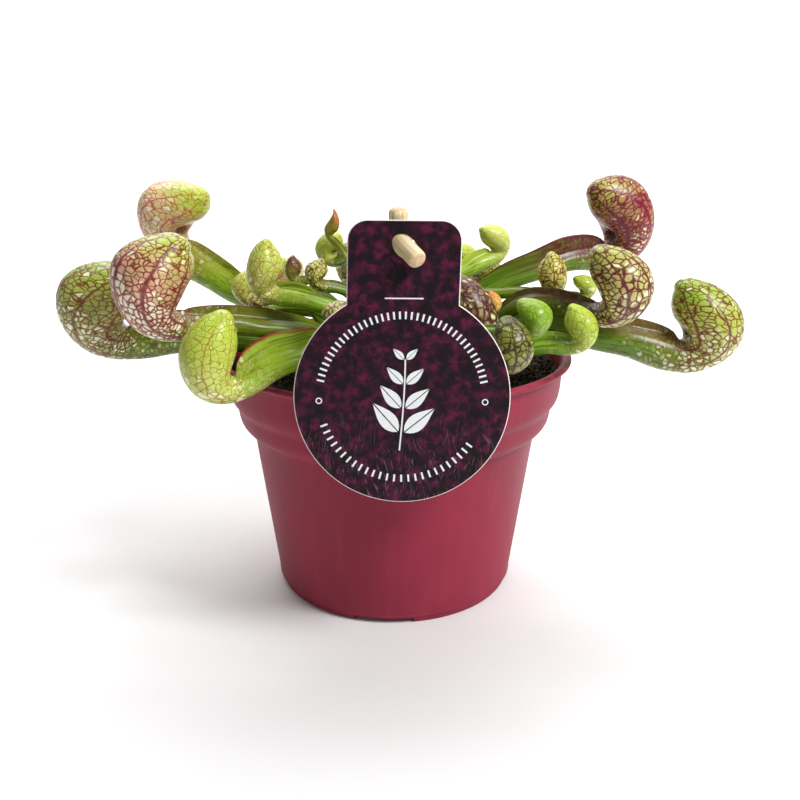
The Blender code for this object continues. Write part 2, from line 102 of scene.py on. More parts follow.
PEAT_SIDE = (
    (55.1, 78.0), (54.9, 72.2), (54.2, 69.7), (52.0, 67.0), (51.8, 63.6), (51.2, 61.7), (49.4, 59.8),
    (46.8, 56.4), (40.0, 5.8), (39.2, 3.8), (0.0, 3.8),
)
PEAT_TOP = ((0.0, 66.0), (12.6, 66.0), (12.6, 75.4), (20.0, 75.9), (32.0, 75.5), (44.0, 75.8), (52.0, 77.2))
WELL_RADIUS, PEAT_RADIUS = PEAT_TOP[2][0], PEAT_SIDE[0][0]
PEAT_TOP_STEP = 0.9
PEAT_FACETS = 150
PEAT_WAVES = (  # along X, along Y, shift and height of each wave of the rough top
    (0.21, 0.13, 0.3, 0.45), (-0.17, 0.29, 1.9, 0.40), (0.61, -0.47, 4.1, 0.22),
    (0.93, 0.71, 2.2, 0.16), (-1.31, 0.87, 5.0, 0.10),
)
ROUGH_ABOVE = 74.0
CALM_AT_POT, CALM_AT_CROWN = 2.5, 2.0  # widths over which the roughness fades out
BED_RINGS, BED_SIDES = 14, 72
BED_START, BED_LIFT, BED_ROUGHNESS = 13.5, 0.25, 0.8
LIP_BED, LIP_BED_DROP = (56.2, 58.6), 0.15
GRAIN_DENSITY, LIP_GRAIN_DENSITY = 210000.0, 70000.0  # to the square metre
GRAIN_MARGIN, LIP_GRAIN_SHARE = 0.7, 0.38
GRAIN_LEAST, GRAIN_MOST = (0.22, 0.22, 0.18), (1.0, 0.8, 0.62)
GRAIN_TURN = (6.28, 6.28, 6.28)
GRAIN_LUMPS = (900.0, 0.0009)  # fineness and height
FIBRE_DENSITY, FIBRE_MARGIN = 52000.0, 4.5
FIBRE_LENGTH, FIBRE_THICKNESS = 9.0, 0.13
FIBRE_LEAST, FIBRE_MOST = (0.3, 0.3, 0.3), (1.0, 1.0, 1.0)
FIBRE_TURN_FROM, FIBRE_TURN_TO = (-0.45, -0.45, 0.0), (0.45, 0.45, 6.28)
FIBRE_CROOKS = (220.0, 0.006)
FIBRE_STEPS, FIBRE_SIDES = 9, 5

CROWN_HEIGHT = 11.0
CROWN_DOME_HEIGHT, CROWN_INSET, CROWN_PLUG_INSET = 10.9, 0.15, 0.5
CROWN_STEPS, CROWN_FACETS = 60, 96
SCAR_HEIGHT, SCAR_PACE, SCARS_END = 0.12, 46, 1.5

STAKE_RADIUS = 2.7
STAKE_FOOT = (1.1, -39.3, 30.0)
STAKE_LENGTH = 105.6
STAKE_LEAN = 6.84
PEG_RADIUS = 2.6
PEG_LENGTH = 12.2
ROUNDING = 1.5  # of the worn end of the stake and of the peg
STICK_FACETS, STICK_RINGS, ROUNDING_STEPS = 64, 12, 9
HOLE_FACETS, NEAT_HOLE_FACETS = 24, 48
END_SHARE = 0.9  # the sawn end lies beyond this share of the length
FLUTES, FLUTE_HEIGHT, FLUTE_TWIST = 5, 0.012, 90
PEG_BACK = (0.4, -52.9, 127.1)
PEG_TURN = 34.0
PEG_DROP = 25.0

FACING, ENDWAYS = 0.9, 0.75  # how squarely a face looks forwards, or along a stick, to be its front or end
TAG_THICKNESS = 0.6
TAG_DISC_RADIUS = 30.3
TAG_DISC_CENTRE = (-0.3, 2.6)
TAG_NECK_HALF = 15.5
TAG_NECK_TOP = 51.4
TAG_CORNER = 5.6
TAG_DISC_STEPS, TAG_CORNER_STEPS = 161, 17
TAG_AT = (2.4, -61.0, 81.0)
TAG_LEAN = 5.6
TAG_ROLL = 0.5
CARD_CHAMFER = 0.28
PRINT_THICKNESS, PRINT_GAP = 0.03, 0.004
TICK_HALF_LENGTH, TICK_HALF_WIDTH = 1.05, 0.275
RING_RADIUS, RING_STEPS = 23.2, 60
RING_SPANS = ((168.0, 12.0, 40), (-160.0, -35.0, 26))  # from, to and number of ticks
RULE_HALF_LENGTH, RULE_HALF_WIDTH, RULE_HEIGHT = 5.3, 0.19, 30.4
SPOT_RADII, SPOT_DROP, SPOT_STEPS = (0.92, 0.60), 0.9, 29
LEAF_LENGTH, LEAF_WIDTH, LEAF_LEAN, LEAF_GAP = 10.6, 5.0, 46.0, 0.9
LEAF_STEPS, LEAF_BELLY, LEAF_TAPER, LEAF_RIB = 12, 0.8, 0.25, 0.16
LEAF_PAIRS, LEAF_SHRINK = 4, 0.20
STEM_WIDTH, STEM_LENGTH, STEM_BOW, STEM_SWING = 0.42, 26.0, 1.4, 1.6
STEM_FOOT = (-0.6, -15.0)
STEM_STEPS, BARE_STEM_STEPS = 30, 6

# Side view of a hood in hood lengths: outer wall, inner wall and half width, from the tube to the beak.
HOOD_RINGS = np.array((
    (-0.600, -0.215, -0.600, 0.035, 0.130),
    (-0.100, -0.320, -0.120, -0.015, 0.180),
    (0.130, -0.315, -0.030, -0.020, 0.225),
    (0.330, -0.235, 0.000, -0.005, 0.275),
    (0.480, -0.090, 0.000, 0.020, 0.320),
    (0.565, 0.100, -0.030, 0.070, 0.355),
    (0.565, 0.300, -0.090, 0.140, 0.370),
    (0.490, 0.465, -0.150, 0.225, 0.350),
    (0.340, 0.590, -0.200, 0.320, 0.300),
    (0.150, 0.660, -0.225, 0.420, 0.225),
    (-0.072, 0.677, -0.228, 0.493, 0.150),
))
BEND_STARTS = 0.3  # share of the way along the hood
NECK_AT, NECK_SPREAD, NECK_FIRST_RING = 0.20, 0.13, 4
JOINT = (-0.60, -0.09)
WING_FADE = (1.0, 0.6, 0.0)
TUBE_KEYS = 9
TUBE_HALF_DEPTH, TUBE_HALF_WIDTH = 0.125, 0.130
TUBE_BLEND = 3
TUBE_GROWTH = 1.2
STOUT_FROM, STOUT_ROOT, SLIM_ROOT = 12.0, 1.7, 1.35
WING_START, WING_GROWTH = 0.05, 1.3
ROOT_GAP = 0.4
FIT = 0.3  # space left round a stick
SIDE_ANGLES = (  # from the wing round one side, closest together where the wing stands
    1.5, 3, 4.5, 6.5, 9, 12, 16, 21, 27, 34, 42, 51, 60, 70, 80, 90, 100, 110, 120, 130, 140, 150, 160, 170,
)
BEAK_STEPS = 9
BEAK_START, BEAK_SIZE = 35.0, 0.158  # where on its ellipse the dome starts, and the ellipse's radius
MOUTH_AT, MOUTH_SPREAD, MOUTH_WIDE, MOUTH_DEEP = 1.52, 0.10, 0.30, 0.10
BLADE_HEIGHT, BLADE_WIDTH, BLADE_FOOT_WIDTH = 0.84, 0.085, 0.34
MOUTH_EASE = 0.6
FULL_WING = 1.2  # a wing this high has its whole coloured hem
LOBES, LOBE_HEIGHT, LOBE_TWIST, LOBES_FROM = 3, 0.012, 4, 0.4
RIBS, RIB_HEIGHT, RIBS_FROM, RIBS_FADE = 8, 0.006, 0.7, 0.4
RIPPLE_HEIGHT, RIPPLE_PACE = 0.05, 18
WALL_LENGTH = 1.35  # the outer wall over the centre line
TUBE_STRETCH = 7.0  # how much longer the net's cells are on the tube than on the hood
STRETCH_END, STRETCH_FADE = 1.02, 0.35

# The floor and backdrop and the lights, in metres and watts.
FLOOR_HALF = 2.2
BACKDROP_Y, BACKDROP_RADIUS, BACKDROP_TOP = 1.4, 0.6, 2.2
BACKDROP_STEPS = 24
SKY_STRENGTH = 0.24
PLANT_MIDDLE = (0.0, 0.0, 0.08)
LIGHTS = (  # name, place, width, power and what it looks at
    ("key", (0.46, -0.34, 0.62), 0.24, 5.8, PLANT_MIDDLE),
    ("back", (-0.20, 0.45, 0.60), 0.35, 1.2, PLANT_MIDDLE),
    ("backdrop", (0.0, 0.55, 1.20), 1.20, 25.0, (0.0, BACKDROP_Y, 0.45)),
)
SENSOR_WIDTH = 36.0  # mm
SIDE_SHIFT, NEAREST_SEEN = 0.007, 0.01  # a share of the sensor's width, and metres

# A pitcher. at: its notch; turn: the tube's heading, climb and roll; size: the hood's; tall, deep, wide,
# curl and neck: how the hood differs from the drawn one; wing: the wing's height; tube: the tube's
# thickness; root: heading and climb out of the crown; handle, pull: how the tube bends on its way.
Pitcher = namedtuple(
    "Pitcher", "name at turn size tall deep wide curl neck wing tube root handle pull look"
)


def hidden(name, at, turn, size, root, handle, look):
    """A pitcher that only fills out the rosette, with a plain hood."""
    return Pitcher(name, at, turn, size, 0.95, 0.95, 1.0, 0, 0.05, 0.18, 1.0, root, handle, 0.4, look)


PITCHERS = (
    Pitcher("left_1", (-90, -8, 92), (-177, 5, -11), 35.0,
            0.9, 1.15, 1.0, -1, 0.0, 0.19, 1.0, (-173, 18), (-37, -4, 88), 0.4, "banded"),
    Pitcher("left_2", (-66, -32, 103), (-156, 12, -7), 33.5,
            1.0, 1.1, 1.0, -22, 0.05, 0.11, 0.75, (-156, 31), (-30, -14, 95), 0.45, "painted"),
    Pitcher("left_3", (-76, 25, 117), (157, 36, -4), 33.0,
            0.9, 0.95, 1.0, -20, 0.1, 0.09, 1.25, (152, 43), (-25, 14, 101), 0.4, "blushed"),
    Pitcher("left_4", (-47, -50, 87), (-163, -15, 1), 24.0,
            1.25, 0.85, 1.0, 0, 0.0, 0.29, 1.0, (-137, 19), (-27, -25, 88), 0.35, "fresh"),
    Pitcher("left_5", (-37, -22, 108), (176, 18, -7), 17.5,
            1.35, 0.75, 1.0, -38, 0.0, 0.05, 1.1, (-137, 45), (-19, -18, 102), 0.4, "young"),
    Pitcher("left_6", (-47, 4, 101), (179, -5, 1), 15.0,
            0.85, 0.9, 1.0, -5, 0.0, 0.17, 1.1, (166, 25), (-34, 7, 92), 0.4, "young"),
    Pitcher("right_1", (77, 25, 115), (24, 11, 8), 30.0,
            1.2, 1.0, 0.9, 4, 0.05, 0.21, 0.85, (31, 41), (25, 15, 99), 0.35, "crimson"),
    Pitcher("right_2", (93, -18, 90), (0, -7, 2), 31.5,
            0.95, 0.9, 0.95, -4, 0.0, 0.1, 1.25, (0, 28), (34, 0, 97), 0.35, "apple"),
    Pitcher("right_3", (64, -25, 104), (-21, -3, 8), 26.5,
            1.0, 0.95, 1.0, -6, 0.05, 0.08, 0.8, (-20, 18), (38, -9, 85), 0.4, "plum"),
    Pitcher("right_4", (54, -34, 94), (-10, 12, -2), 14.5,
            1.15, 0.8, 1.0, -22, 0.0, 0.21, 1.05, (-41, 18), (31, -25, 79), 0.4, "lime"),
    Pitcher("right_9", (34, 12, 114), (29, 26, 1), 13.5,
            1.15, 0.75, 0.9, -9, 0.0, 0.2, 1.45, (35, 63), (13, 9, 108), 0.4, "straw"),
    Pitcher("right_5", (39, -42, 100), (-34, 13, -5), 13.5,
            0.9, 0.95, 1.0, -8, 0.05, 0.07, 0.95, (-60, 47), (0, -30, 105), 0.4, "plain"),
    Pitcher("right_6", (32, -49, 93), (-65, -5, 4), 16.5,
            1.1, 0.8, 1.0, -14, 0.0, 0.1, 1.0, (-64, 18), (12, -39, 77), 0.25, "dusky"),
    Pitcher("right_7", (48, -8, 105), (-15, 6, 0), 15.0,
            1.25, 0.8, 1.0, -33, 0.0, 0.03, 0.95, (-7, 50), (23, 0, 104), 0.4, "netted_gold"),
    Pitcher("right_8", (66, 15, 99), (16, 8, 0), 10.5,
            0.9, 0.9, 1.0, 1, 0.0, 0.11, 1.0, (20, 24), (29, 11, 89), 0.4, "lime"),
    Pitcher("right_10", (25, -18, 94), (-72, 11, 24), 22.0,
            1.25, 1.0, 0.9, -2, 0.0, 0.15, 1.0, (-80, 33), (9, -33, 95), 0.4, "shadow"),
    Pitcher("right_11", (31, -16, 100), (-30, 20, 0), 7.0,
            1.2, 0.7, 1.0, -30, 0.05, 0.1, 1.0, (-34, 61), (11, -6, 106), 0.4, "amber"),
    Pitcher("left_7", (-43, -8, 99), (-172, -2, 1), 9.0,
            0.75, 0.9, 1.0, -2, 0.05, 0.03, 1.0, (-177, 37), (-26, -2, 96), 0.4, "windowed"),
    Pitcher("left_8", (-33, 8, 106), (164, 11, -1), 9.0,
            1.3, 0.7, 1.0, -40, 0.0, 0.11, 0.9, (166, 60), (-15, 4, 103), 0.4, "young_brown"),
    Pitcher("left_9", (-24, -6, 107), (-166, 21, -3), 11.0,
            1.0, 0.9, 1.0, -33, 0.0, 0.11, 1.1, (-165, 54), (-18, -5, 102), 0.4, "netted"),
    Pitcher("left_10", (-21, 22, 111), (124, -7, -8), 13.5,
            0.95, 1.0, 1.1, 5, 0.05, 0.17, 0.8, (128, 61), (-10, 13, 107), 0.45, "fresh_pale"),
    Pitcher("left_11", (-17, -27, 99), (-138, 8, 0), 10.5,
            0.8, 0.9, 1.0, 1, 0.05, 0.1, 1.0, (-118, 26), (-14, -27, 90), 0.4, "windowed"),
    Pitcher("left_12", (-21, 8, 120), (150, 50, -3), 8.0,
            1.9, 0.4, 0.6, -55, 0.0, 0.09, 1.0, (159, 77), (-7, 2, 106), 0.4, "ember"),
    hidden("back_1", (-14, 49, 99), (108, 12, 0), 22.0, (105, 46), (-7, 25, 103), "apple"),
    hidden("back_2", (10, 52, 97), (80, 5, 0), 24.0, (80, 28), (6, 34, 94), "plum"),
    hidden("back_3", (25, 37, 104), (60, 20, 0), 14.5, (58, 48), (13, 21, 103), "fresh"),
    hidden("back_4", (-41, 52, 91), (128, -2, 0), 23.5, (129, 27), (-22, 27, 93), "blushed"),
    hidden("back_5", (34, 53, 92), (60, -4, 0), 22.5, (58, 26), (19, 29, 93), "banded"),
    hidden("back_6", (2, 33, 112), (92, 38, 0), 14.0, (83, 66), (2, 14, 109), "netted"),
    hidden("front_1", (-4, -39, 86), (-97, 5, 0), 10.0, (-100, 26), (-5, -30, 90), "plain"),
)

# How a pitcher is coloured. low, crown: the hood's flesh; tube, shade: the tube's two greens, the darker
# also painted as shade on the tube's underside; blush: over the hood's middle; vein: its colour, half
# width of the net and of the long veins, strength; window: colour and share of the cells; wing: its hem's
# colour and strength; flush: how far the wing's colour spreads over the neck; cell: the net's mesh in mm;
# mouth: painted shade in the mouth's dent, where the pitcher's hole would be dark. Colours are on a paint
# chart's 0 to 255 scale.
Look = namedtuple(
    "Look", "low crown tube shade blush blush_share vein net_width long_width strength "
    "window window_share wing wing_share flush cell mouth"
)
# The third of these is painted shade for the mouth's dent, where the pitcher's hole would be dark.
MILK, CREAM, MOUTH_SHADE = (252, 250, 222), (244, 240, 176), (66, 34, 24)
LOOKS = {
    "banded": (
        (120, 142, 30), (146, 178, 40), (104, 140, 22), (44, 68, 4), (214, 200, 120), 0.50,
        (112, 36, 34), 0.080, 0.095, 0.92, MILK, 0.55, (92, 50, 24), 0.7, 0.30, 2.3, MOUTH_SHADE,
    ),
    "painted": (
        (134, 138, 34), (176, 196, 56), (116, 138, 26), (52, 72, 6), (232, 164, 146), 0.90,
        (120, 24, 40), 0.080, 0.120, 0.96, MILK, 0.90, (112, 40, 30), 0.9, 0.30, 2.2, MOUTH_SHADE,
    ),
    "blushed": (
        (226, 214, 140), (176, 208, 48), (142, 182, 34), (78, 122, 10), (248, 206, 168), 0.90,
        (188, 54, 62), 0.050, 0.080, 0.85, MILK, 0.50, (150, 88, 34), 0.5, 0.30, 2.6, (140, 60, 30),
    ),
    "fresh": (
        (176, 200, 60), (176, 208, 50), (152, 186, 36), (92, 134, 10), (206, 218, 96), 0.5,
        (158, 74, 40), 0.034, 0.05, 0.8, (246, 244, 190), 0.3, (130, 22, 22), 1.0, 0.10, 2.5, (120, 70, 20),
    ),
    "fresh_pale": (
        (184, 204, 70), (202, 218, 90), (140, 176, 44), (78, 116, 14), (216, 222, 120), 0.4,
        (160, 120, 44), 0.035, 0.040, 0.6, CREAM, 0.15, (130, 80, 40), 0.6, 0.20, 2.2, (110, 84, 10),
    ),
    "young": (
        (182, 196, 74), (190, 212, 82), (134, 174, 34), (74, 114, 8), (224, 222, 124), 0.5,
        (148, 82, 36), 0.045, 0.050, 0.80, CREAM, 0.20, (150, 90, 40), 0.6, 0.20, 2.3, (130, 80, 30),
    ),
    "young_brown": (
        (140, 158, 40), (92, 56, 34), (134, 166, 34), (74, 108, 10), (150, 100, 56), 0.5,
        (92, 46, 30), 0.060, 0.055, 0.8, CREAM, 0.05, (98, 50, 34), 0.9, 0.40, 2.0, MOUTH_SHADE,
    ),
    "windowed": (
        (140, 148, 46), (154, 158, 58), (112, 144, 28), (62, 90, 8), (222, 214, 130), 0.6,
        (94, 46, 30), 0.095, 0.085, 0.97, (240, 238, 180), 0.50, (96, 50, 34), 0.8, 0.40, 1.7, MOUTH_SHADE,
    ),
    "netted": (
        (196, 198, 84), (176, 176, 66), (112, 142, 26), (60, 92, 8), (232, 220, 136), 0.6,
        (84, 40, 28), 0.085, 0.095, 1.0, CREAM, 0.40, (86, 40, 30), 0.9, 0.40, 1.8, MOUTH_SHADE,
    ),
    "netted_gold": (
        (206, 204, 88), (200, 204, 74), (122, 152, 28), (62, 92, 8), (230, 210, 112), 0.6,
        (98, 38, 26), 0.075, 0.080, 0.97, (242, 234, 150), 0.40, (90, 36, 26), 0.9, 0.40, 2.0, MOUTH_SHADE,
    ),
    "crimson": (
        (178, 170, 74), (176, 172, 72), (106, 146, 28), (54, 88, 6), (164, 60, 76), 1.0,
        (112, 22, 42), 0.110, 0.170, 1.0, (250, 228, 190), 0.72, (92, 20, 24), 1.0, 1.00, 2.3, (80, 20, 24),
    ),
    "apple": (
        (172, 186, 62), (144, 186, 34), (104, 142, 22), (48, 78, 4), (204, 204, 96), 0.5,
        (112, 32, 34), 0.078, 0.100, 0.97, MILK, 0.55, (98, 40, 24), 1.0, 0.75, 2.5, (80, 34, 20),
    ),
    "plum": (
        (176, 180, 78), (176, 184, 74), (92, 124, 18), (40, 62, 4), (214, 184, 122), 0.55,
        (98, 26, 46), 0.098, 0.130, 1.0, MILK, 0.72, (80, 26, 24), 1.0, 0.90, 2.5, MOUTH_SHADE,
    ),
    "lime": (
        (160, 194, 46), (186, 210, 66), (130, 172, 30), (70, 114, 6), (206, 216, 96), 0.35,
        (130, 100, 34), 0.034, 0.040, 0.65, CREAM, 0.16, (130, 100, 40), 0.5, 0.10, 2.5, (110, 90, 20),
    ),
    "plain": (
        (122, 154, 8), (142, 170, 18), (108, 138, 12), (60, 88, 4), (134, 186, 26), 0.3,
        (62, 118, 4), 0.030, 0.040, 0.5, CREAM, 0.0, (90, 120, 14), 0.3, 0.0, 2.6, (60, 80, 6),
    ),
    "dusky": (
        (116, 124, 24), (96, 104, 24), (92, 114, 22), (46, 62, 6), (150, 150, 56), 0.4,
        (52, 26, 20), 0.085, 0.110, 0.97, CREAM, 0.10, (62, 30, 24), 0.9, 0.30, 2.2, MOUTH_SHADE,
    ),
    "straw": (
        (200, 214, 96), (206, 220, 104), (172, 202, 62), (104, 144, 26), (222, 226, 128), 0.4,
        (180, 168, 60), 0.040, 0.040, 0.5, CREAM, 0.10, (196, 176, 70), 0.5, 0.10, 2.0, (196, 150, 50),
    ),
    "shadow": (
        (150, 146, 62), (110, 66, 56), (92, 98, 26), (44, 50, 8), (126, 70, 66), 0.7,
        (70, 26, 34), 0.110, 0.120, 1.0, (234, 230, 170), 0.55, (74, 30, 34), 0.9, 0.50, 2.1, MOUTH_SHADE,
    ),
    "amber": (
        (224, 180, 76), (214, 132, 44), (202, 192, 66), (140, 134, 30), (232, 196, 104), 0.4,
        (160, 70, 26), 0.040, 0.040, 0.6, CREAM, 0.05, (180, 90, 34), 0.6, 0.20, 1.7, (140, 60, 20),
    ),
    "ember": (
        (150, 164, 38), (190, 112, 56), (136, 156, 34), (80, 98, 12), (190, 140, 44), 0.3,
        (124, 80, 30), 0.040, 0.040, 0.6, CREAM, 0.0, (170, 66, 30), 0.8, 0.20, 2.1, (120, 50, 20),
    ),
}


def look_of(name):
    """The named look, with its colours as linear light."""
    return Look(*(tone(*value) if isinstance(value, tuple) else value for value in LOOKS[name]))


# ---------------------------------------------------------------------------------------------------
# Sizes and colours a user may change
# ---------------------------------------------------------------------------------------------------


def colour_property(name, description, value):
    """A colour of the panel, as linear light."""
    return FloatVectorProperty(
        name=name, description=description, default=value, subtype="COLOR", size=3, min=0.0, max=1.0
    )


def length_property(name, description, millimetres):
    """A length of the panel, with its default in millimetres."""
    return FloatProperty(
        name=name, description=description, default=millimetres * MM, min=0.0, unit="LENGTH"
    )


class PotSettings(bpy.types.PropertyGroup):
    colour: colour_property("Plastic", "Colour of the pot's plastic", tone(150, 44, 66))
    shade: colour_property("Plastic in the folds", "Deeper colour of the plastic", tone(134, 36, 56))
    steps: IntProperty(name="Steps", description="Facets round the pot", default=180, min=24, max=360)


class PeatSettings(bpy.types.PropertyGroup):
    dark: colour_property("Damp peat", "Colour of the damp peat", tone(26, 17, 12))
    light: colour_property("Dry peat", "Colour of the drier grains", tone(92, 62, 40))
    fibre: colour_property("Fibres", "Colour of the root fibres", tone(128, 92, 60))
    grain: length_property("Grain", "Radius of the largest grains", 1.15)
    seed: IntProperty(name="Seed", description="Changes how the grains lie", default=7, min=0)


class TagSettings(bpy.types.PropertyGroup):
    ground: colour_property("Ground", "Darkest colour of the print", tone(20, 8, 16))
    bloom: colour_property("Bloom", "Brightest colour of the print", tone(90, 18, 56))
    card: colour_property("Card", "Colour of the bare card", tone(236, 232, 226))
    ink: colour_property("Marks", "Colour of the printed marks", tone(236, 240, 240))


class WoodSettings(bpy.types.PropertyGroup):
    pale: colour_property("Wood", "Colour of the pale wood", tone(236, 220, 182))
    grain: colour_property("Grain", "Colour of the grain", tone(196, 164, 116))
    end: colour_property("End grain", "Colour of the sawn end", tone(206, 150, 112))


class PitcherSettings(bpy.types.PropertyGroup):
    rings: IntProperty(name="Rings", description="Rings between two drawn rings", default=7, min=2)
    waxy: FloatProperty(
        name="Roughness", description="Roughness of the waxy skin", default=0.34, min=0.0, max=1.0
    )
    relief: length_property("Relief", "How far the cells of the vein net swell", 0.16)


class StageSettings(bpy.types.PropertyGroup):
    floor: colour_property("Floor", "Colour of the floor", (0.86, 0.86, 0.86))
    lens: FloatProperty(name="Lens", description="Focal length in mm", default=40.5, min=10.0)
    distance: length_property("Distance", "From the pot's axis to the camera", 300.0)
    height: length_property("Height", "Of the camera above the floor", 159.0)
    tilt: FloatProperty(name="Tilt", description="Downwards", default=17.6, min=0.0, max=90.0)


SETTINGS = {
    "plant_pot": PotSettings,
    "plant_peat": PeatSettings,
    "plant_tag": TagSettings,
    "plant_wood": WoodSettings,
    "plant_pitchers": PitcherSettings,
    "plant_stage": StageSettings,
}


# ---------------------------------------------------------------------------------------------------
# Meshes
# ---------------------------------------------------------------------------------------------------


def new_object(name, mesh):
    """An object for the mesh, curve, lamp or camera, in the scene."""
    made = bpy.data.objects.new(name, mesh)
    bpy.context.scene.collection.objects.link(made)
    return made


def mesh_object(name, points, faces=(), edges=()):
    """A mesh object from points in millimetres."""
    mesh = bpy.data.meshes.new(name)
    mesh.from_pydata((np.asarray(points, float) * MM).tolist(), edges, faces)
    mesh.update()
    return new_object(name, mesh)


def plain_mesh(made, name):
    """The object with its modifiers applied, as a new plain mesh object in its place."""
    graph = bpy.context.evaluated_depsgraph_get()
    mesh = bpy.data.meshes.new_from_object(
        made.evaluated_get(graph), preserve_all_data_layers=True, depsgraph=graph
    )
    place = made.matrix_world.copy()
    bpy.data.objects.remove(made, do_unlink=True)
    mesh.transform(place)
    mesh.name = name
    return new_object(name, mesh)


def shape_to_mesh(shape, mesh):
    """Writes the worked shape to the mesh, and frees it."""
    shape.to_mesh(mesh)
    shape.free()
    return mesh


def outward(made):
    """Merges doubled points and turns every face outwards."""
    shape = bmesh.new()
    shape.from_mesh(made.data)
    bmesh.ops.remove_doubles(shape, verts=shape.verts, dist=SAME_POINT)
    bmesh.ops.recalc_face_normals(shape, faces=shape.faces)
    shape_to_mesh(shape, made.data)


def smooth(made, angle=35.0):
    """Shades smoothly, and keeps edges sharper than the angle."""
    made.data.shade_smooth()
    made.data.set_sharp_from_angle(angle=math.radians(angle))


def lay_on(made, *materials):
    """Gives the piece its materials."""
    made.data.materials.clear()
    for material in materials:
        made.data.materials.append(material)


def declare(made, slot, *nodes):
    """Says which body the piece rides on and which CAD nodes it replaces. The slot is not used."""
    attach(made, BODY)
    if nodes:
        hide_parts(*nodes)


def store(made, name, values):
    """Three values for each point of the mesh, for its material to read."""
    attribute = made.data.attributes.new(name, "FLOAT_VECTOR", "POINT")
    attribute.data.foreach_set("vector", np.asarray(values, np.float32).ravel())


def eased(points, reach, steps=3):
    """A polyline with each corner replaced by a short curve. The ends stay."""
    points = [np.asarray(p, float) for p in points]
    out = [points[0]]
    for before, corner, after in zip(points, points[1:], points[2:]):
        back, ahead = before - corner, after - corner
        near = min(reach, 0.45 * np.linalg.norm(back), 0.45 * np.linalg.norm(ahead))
        start = corner + back / np.linalg.norm(back) * near
        end = corner + ahead / np.linalg.norm(ahead) * near
        for t in np.linspace(0, 1, steps + 1):
            out.append((1 - t) ** 2 * start + 2 * t * (1 - t) * corner + t * t * end)
    return out + [points[-1]]


# ---------------------------------------------------------------------------------------------------
# Geometry Nodes
# ---------------------------------------------------------------------------------------------------


class Tree:
    """A Geometry Nodes tree with named inputs, and short words for adding to it."""

    def __init__(self, name, **inputs):
        self.group = bpy.data.node_groups.new(name, "GeometryNodeTree")
        self.sockets = {}
        socket = self.group.interface.new_socket
        socket("Geometry", in_out="INPUT", socket_type="NodeSocketGeometry")
        for label, kind in inputs.items():
            made = socket(label.replace("_", " ").capitalize(), in_out="INPUT", socket_type=kind)
            self.sockets[label] = made.identifier
        socket("Geometry", in_out="OUTPUT", socket_type="NodeSocketGeometry")
        self.start = self.group.nodes.new("NodeGroupInput")
        self.end = self.group.nodes.new("NodeGroupOutput")

    def given(self, label=None):
        """One of the tree's inputs, or the geometry when no name is given."""
        names = [None, *self.sockets]
        return self.start.outputs[names.index(label)]

    def add(self, kind, *links, **settings):
        """A node. links fills its inputs by number or name; settings are its own properties."""
        node = self.group.nodes.new(kind)
        for key, value in settings.items():
            setattr(node, key, value)
        for key, value in links:
            if isinstance(value, bpy.types.NodeSocket):
                self.group.links.new(value, node.inputs[key])
            else:
                node.inputs[key].default_value = value
        return node

    def make(self, kind, *links, **settings):
        """A geometry node, by its short name. Returns what comes out of it."""
        return self.add("GeometryNode" + kind, *links, **settings).outputs[0]

    def finish(self, geometry):
        """Ends in plain geometry with the surface laid on it."""
        real = self.make("RealizeInstances", (0, geometry))
        done = self.make("SetMaterial", ("Geometry", real), ("Material", self.given("surface")))
        self.group.links.new(done, self.end.inputs[0])

    def apply(self, made, name, **values):
        """Runs the tree on the object and returns the result as a plain mesh object."""
        modifier = made.modifiers.new(self.group.name, "NODES")
        modifier.node_group = self.group
        for label, value in values.items():
            modifier[self.sockets[label]] = value
        return plain_mesh(made, name)


def turning_tree():
    """Turns a section, drawn in XZ at +X, about Z."""
    tree = Tree("turned", steps="NodeSocketInt", surface="NodeSocketMaterial")
    hub = 0.010  # radius of the circle that carries the section, taken off the section first
    shifted = tree.make("Transform", (0, tree.given()), ("Translation", (-hub, 0.0, 0.0)))
    flat = tree.make("Transform", (0, shifted), ("Rotation", (math.pi / 2, 0.0, 0.0)))
    section = tree.make("MeshToCurve", (0, flat))
    rim = tree.make("CurvePrimitiveCircle", ("Resolution", tree.given("steps")), ("Radius", hub))
    swept = tree.make("CurveToMesh", (0, rim), (1, section))
    tree.finish(tree.make("MergeByDistance", ("Geometry", swept), ("Distance", SAME_POINT)))
    return tree


def scaled(tree, vector, factor):
    """The vector times one number."""
    return tree.add(
        "ShaderNodeVectorMath", (0, vector), ("Scale", factor), operation="SCALE"
    ).outputs[0]


def wandering(tree, geometry, scale, amount):
    """Moves each point by smooth noise, so that no two copies look the same."""
    place = tree.make("InputPosition")
    noise = tree.add("ShaderNodeTexNoise", ("Vector", place), ("Scale", scale), ("Detail", 1.0))
    centred = tree.add("ShaderNodeVectorMath", (0, noise.outputs["Color"]), (1, (0.5, 0.5, 0.5)),
                       operation="SUBTRACT")
    return tree.make(
        "SetPosition", ("Geometry", geometry), ("Offset", scaled(tree, centred.outputs[0], amount))
    )


def strewing_tree(name, **inputs):
    """The start of a tree that strews things over a surface."""
    return Tree(name, density="NodeSocketFloat", size="NodeSocketFloat", seed="NodeSocketInt",
                surface="NodeSocketMaterial", **inputs)


def strewn(tree, thing, least, most, turn_from, turn_to):
    """Copies of a thing at random places, each with a random size and turn between those given."""

    def random_between(low, high):
        return tree.add("FunctionNodeRandomValue", (0, low), (1, high), ("Seed", tree.given("seed")),
                        data_type="FLOAT_VECTOR").outputs[0]

    points = tree.make("DistributePointsOnFaces", ("Mesh", tree.given()),
                       ("Density", tree.given("density")), ("Seed", tree.given("seed")))
    size = scaled(tree, random_between(least, most), tree.given("size"))
    copies = tree.make("InstanceOnPoints", ("Points", points), ("Instance", thing),
                       ("Rotation", random_between(turn_from, turn_to)), ("Scale", size))
    return tree.make("RealizeInstances", (0, copies))


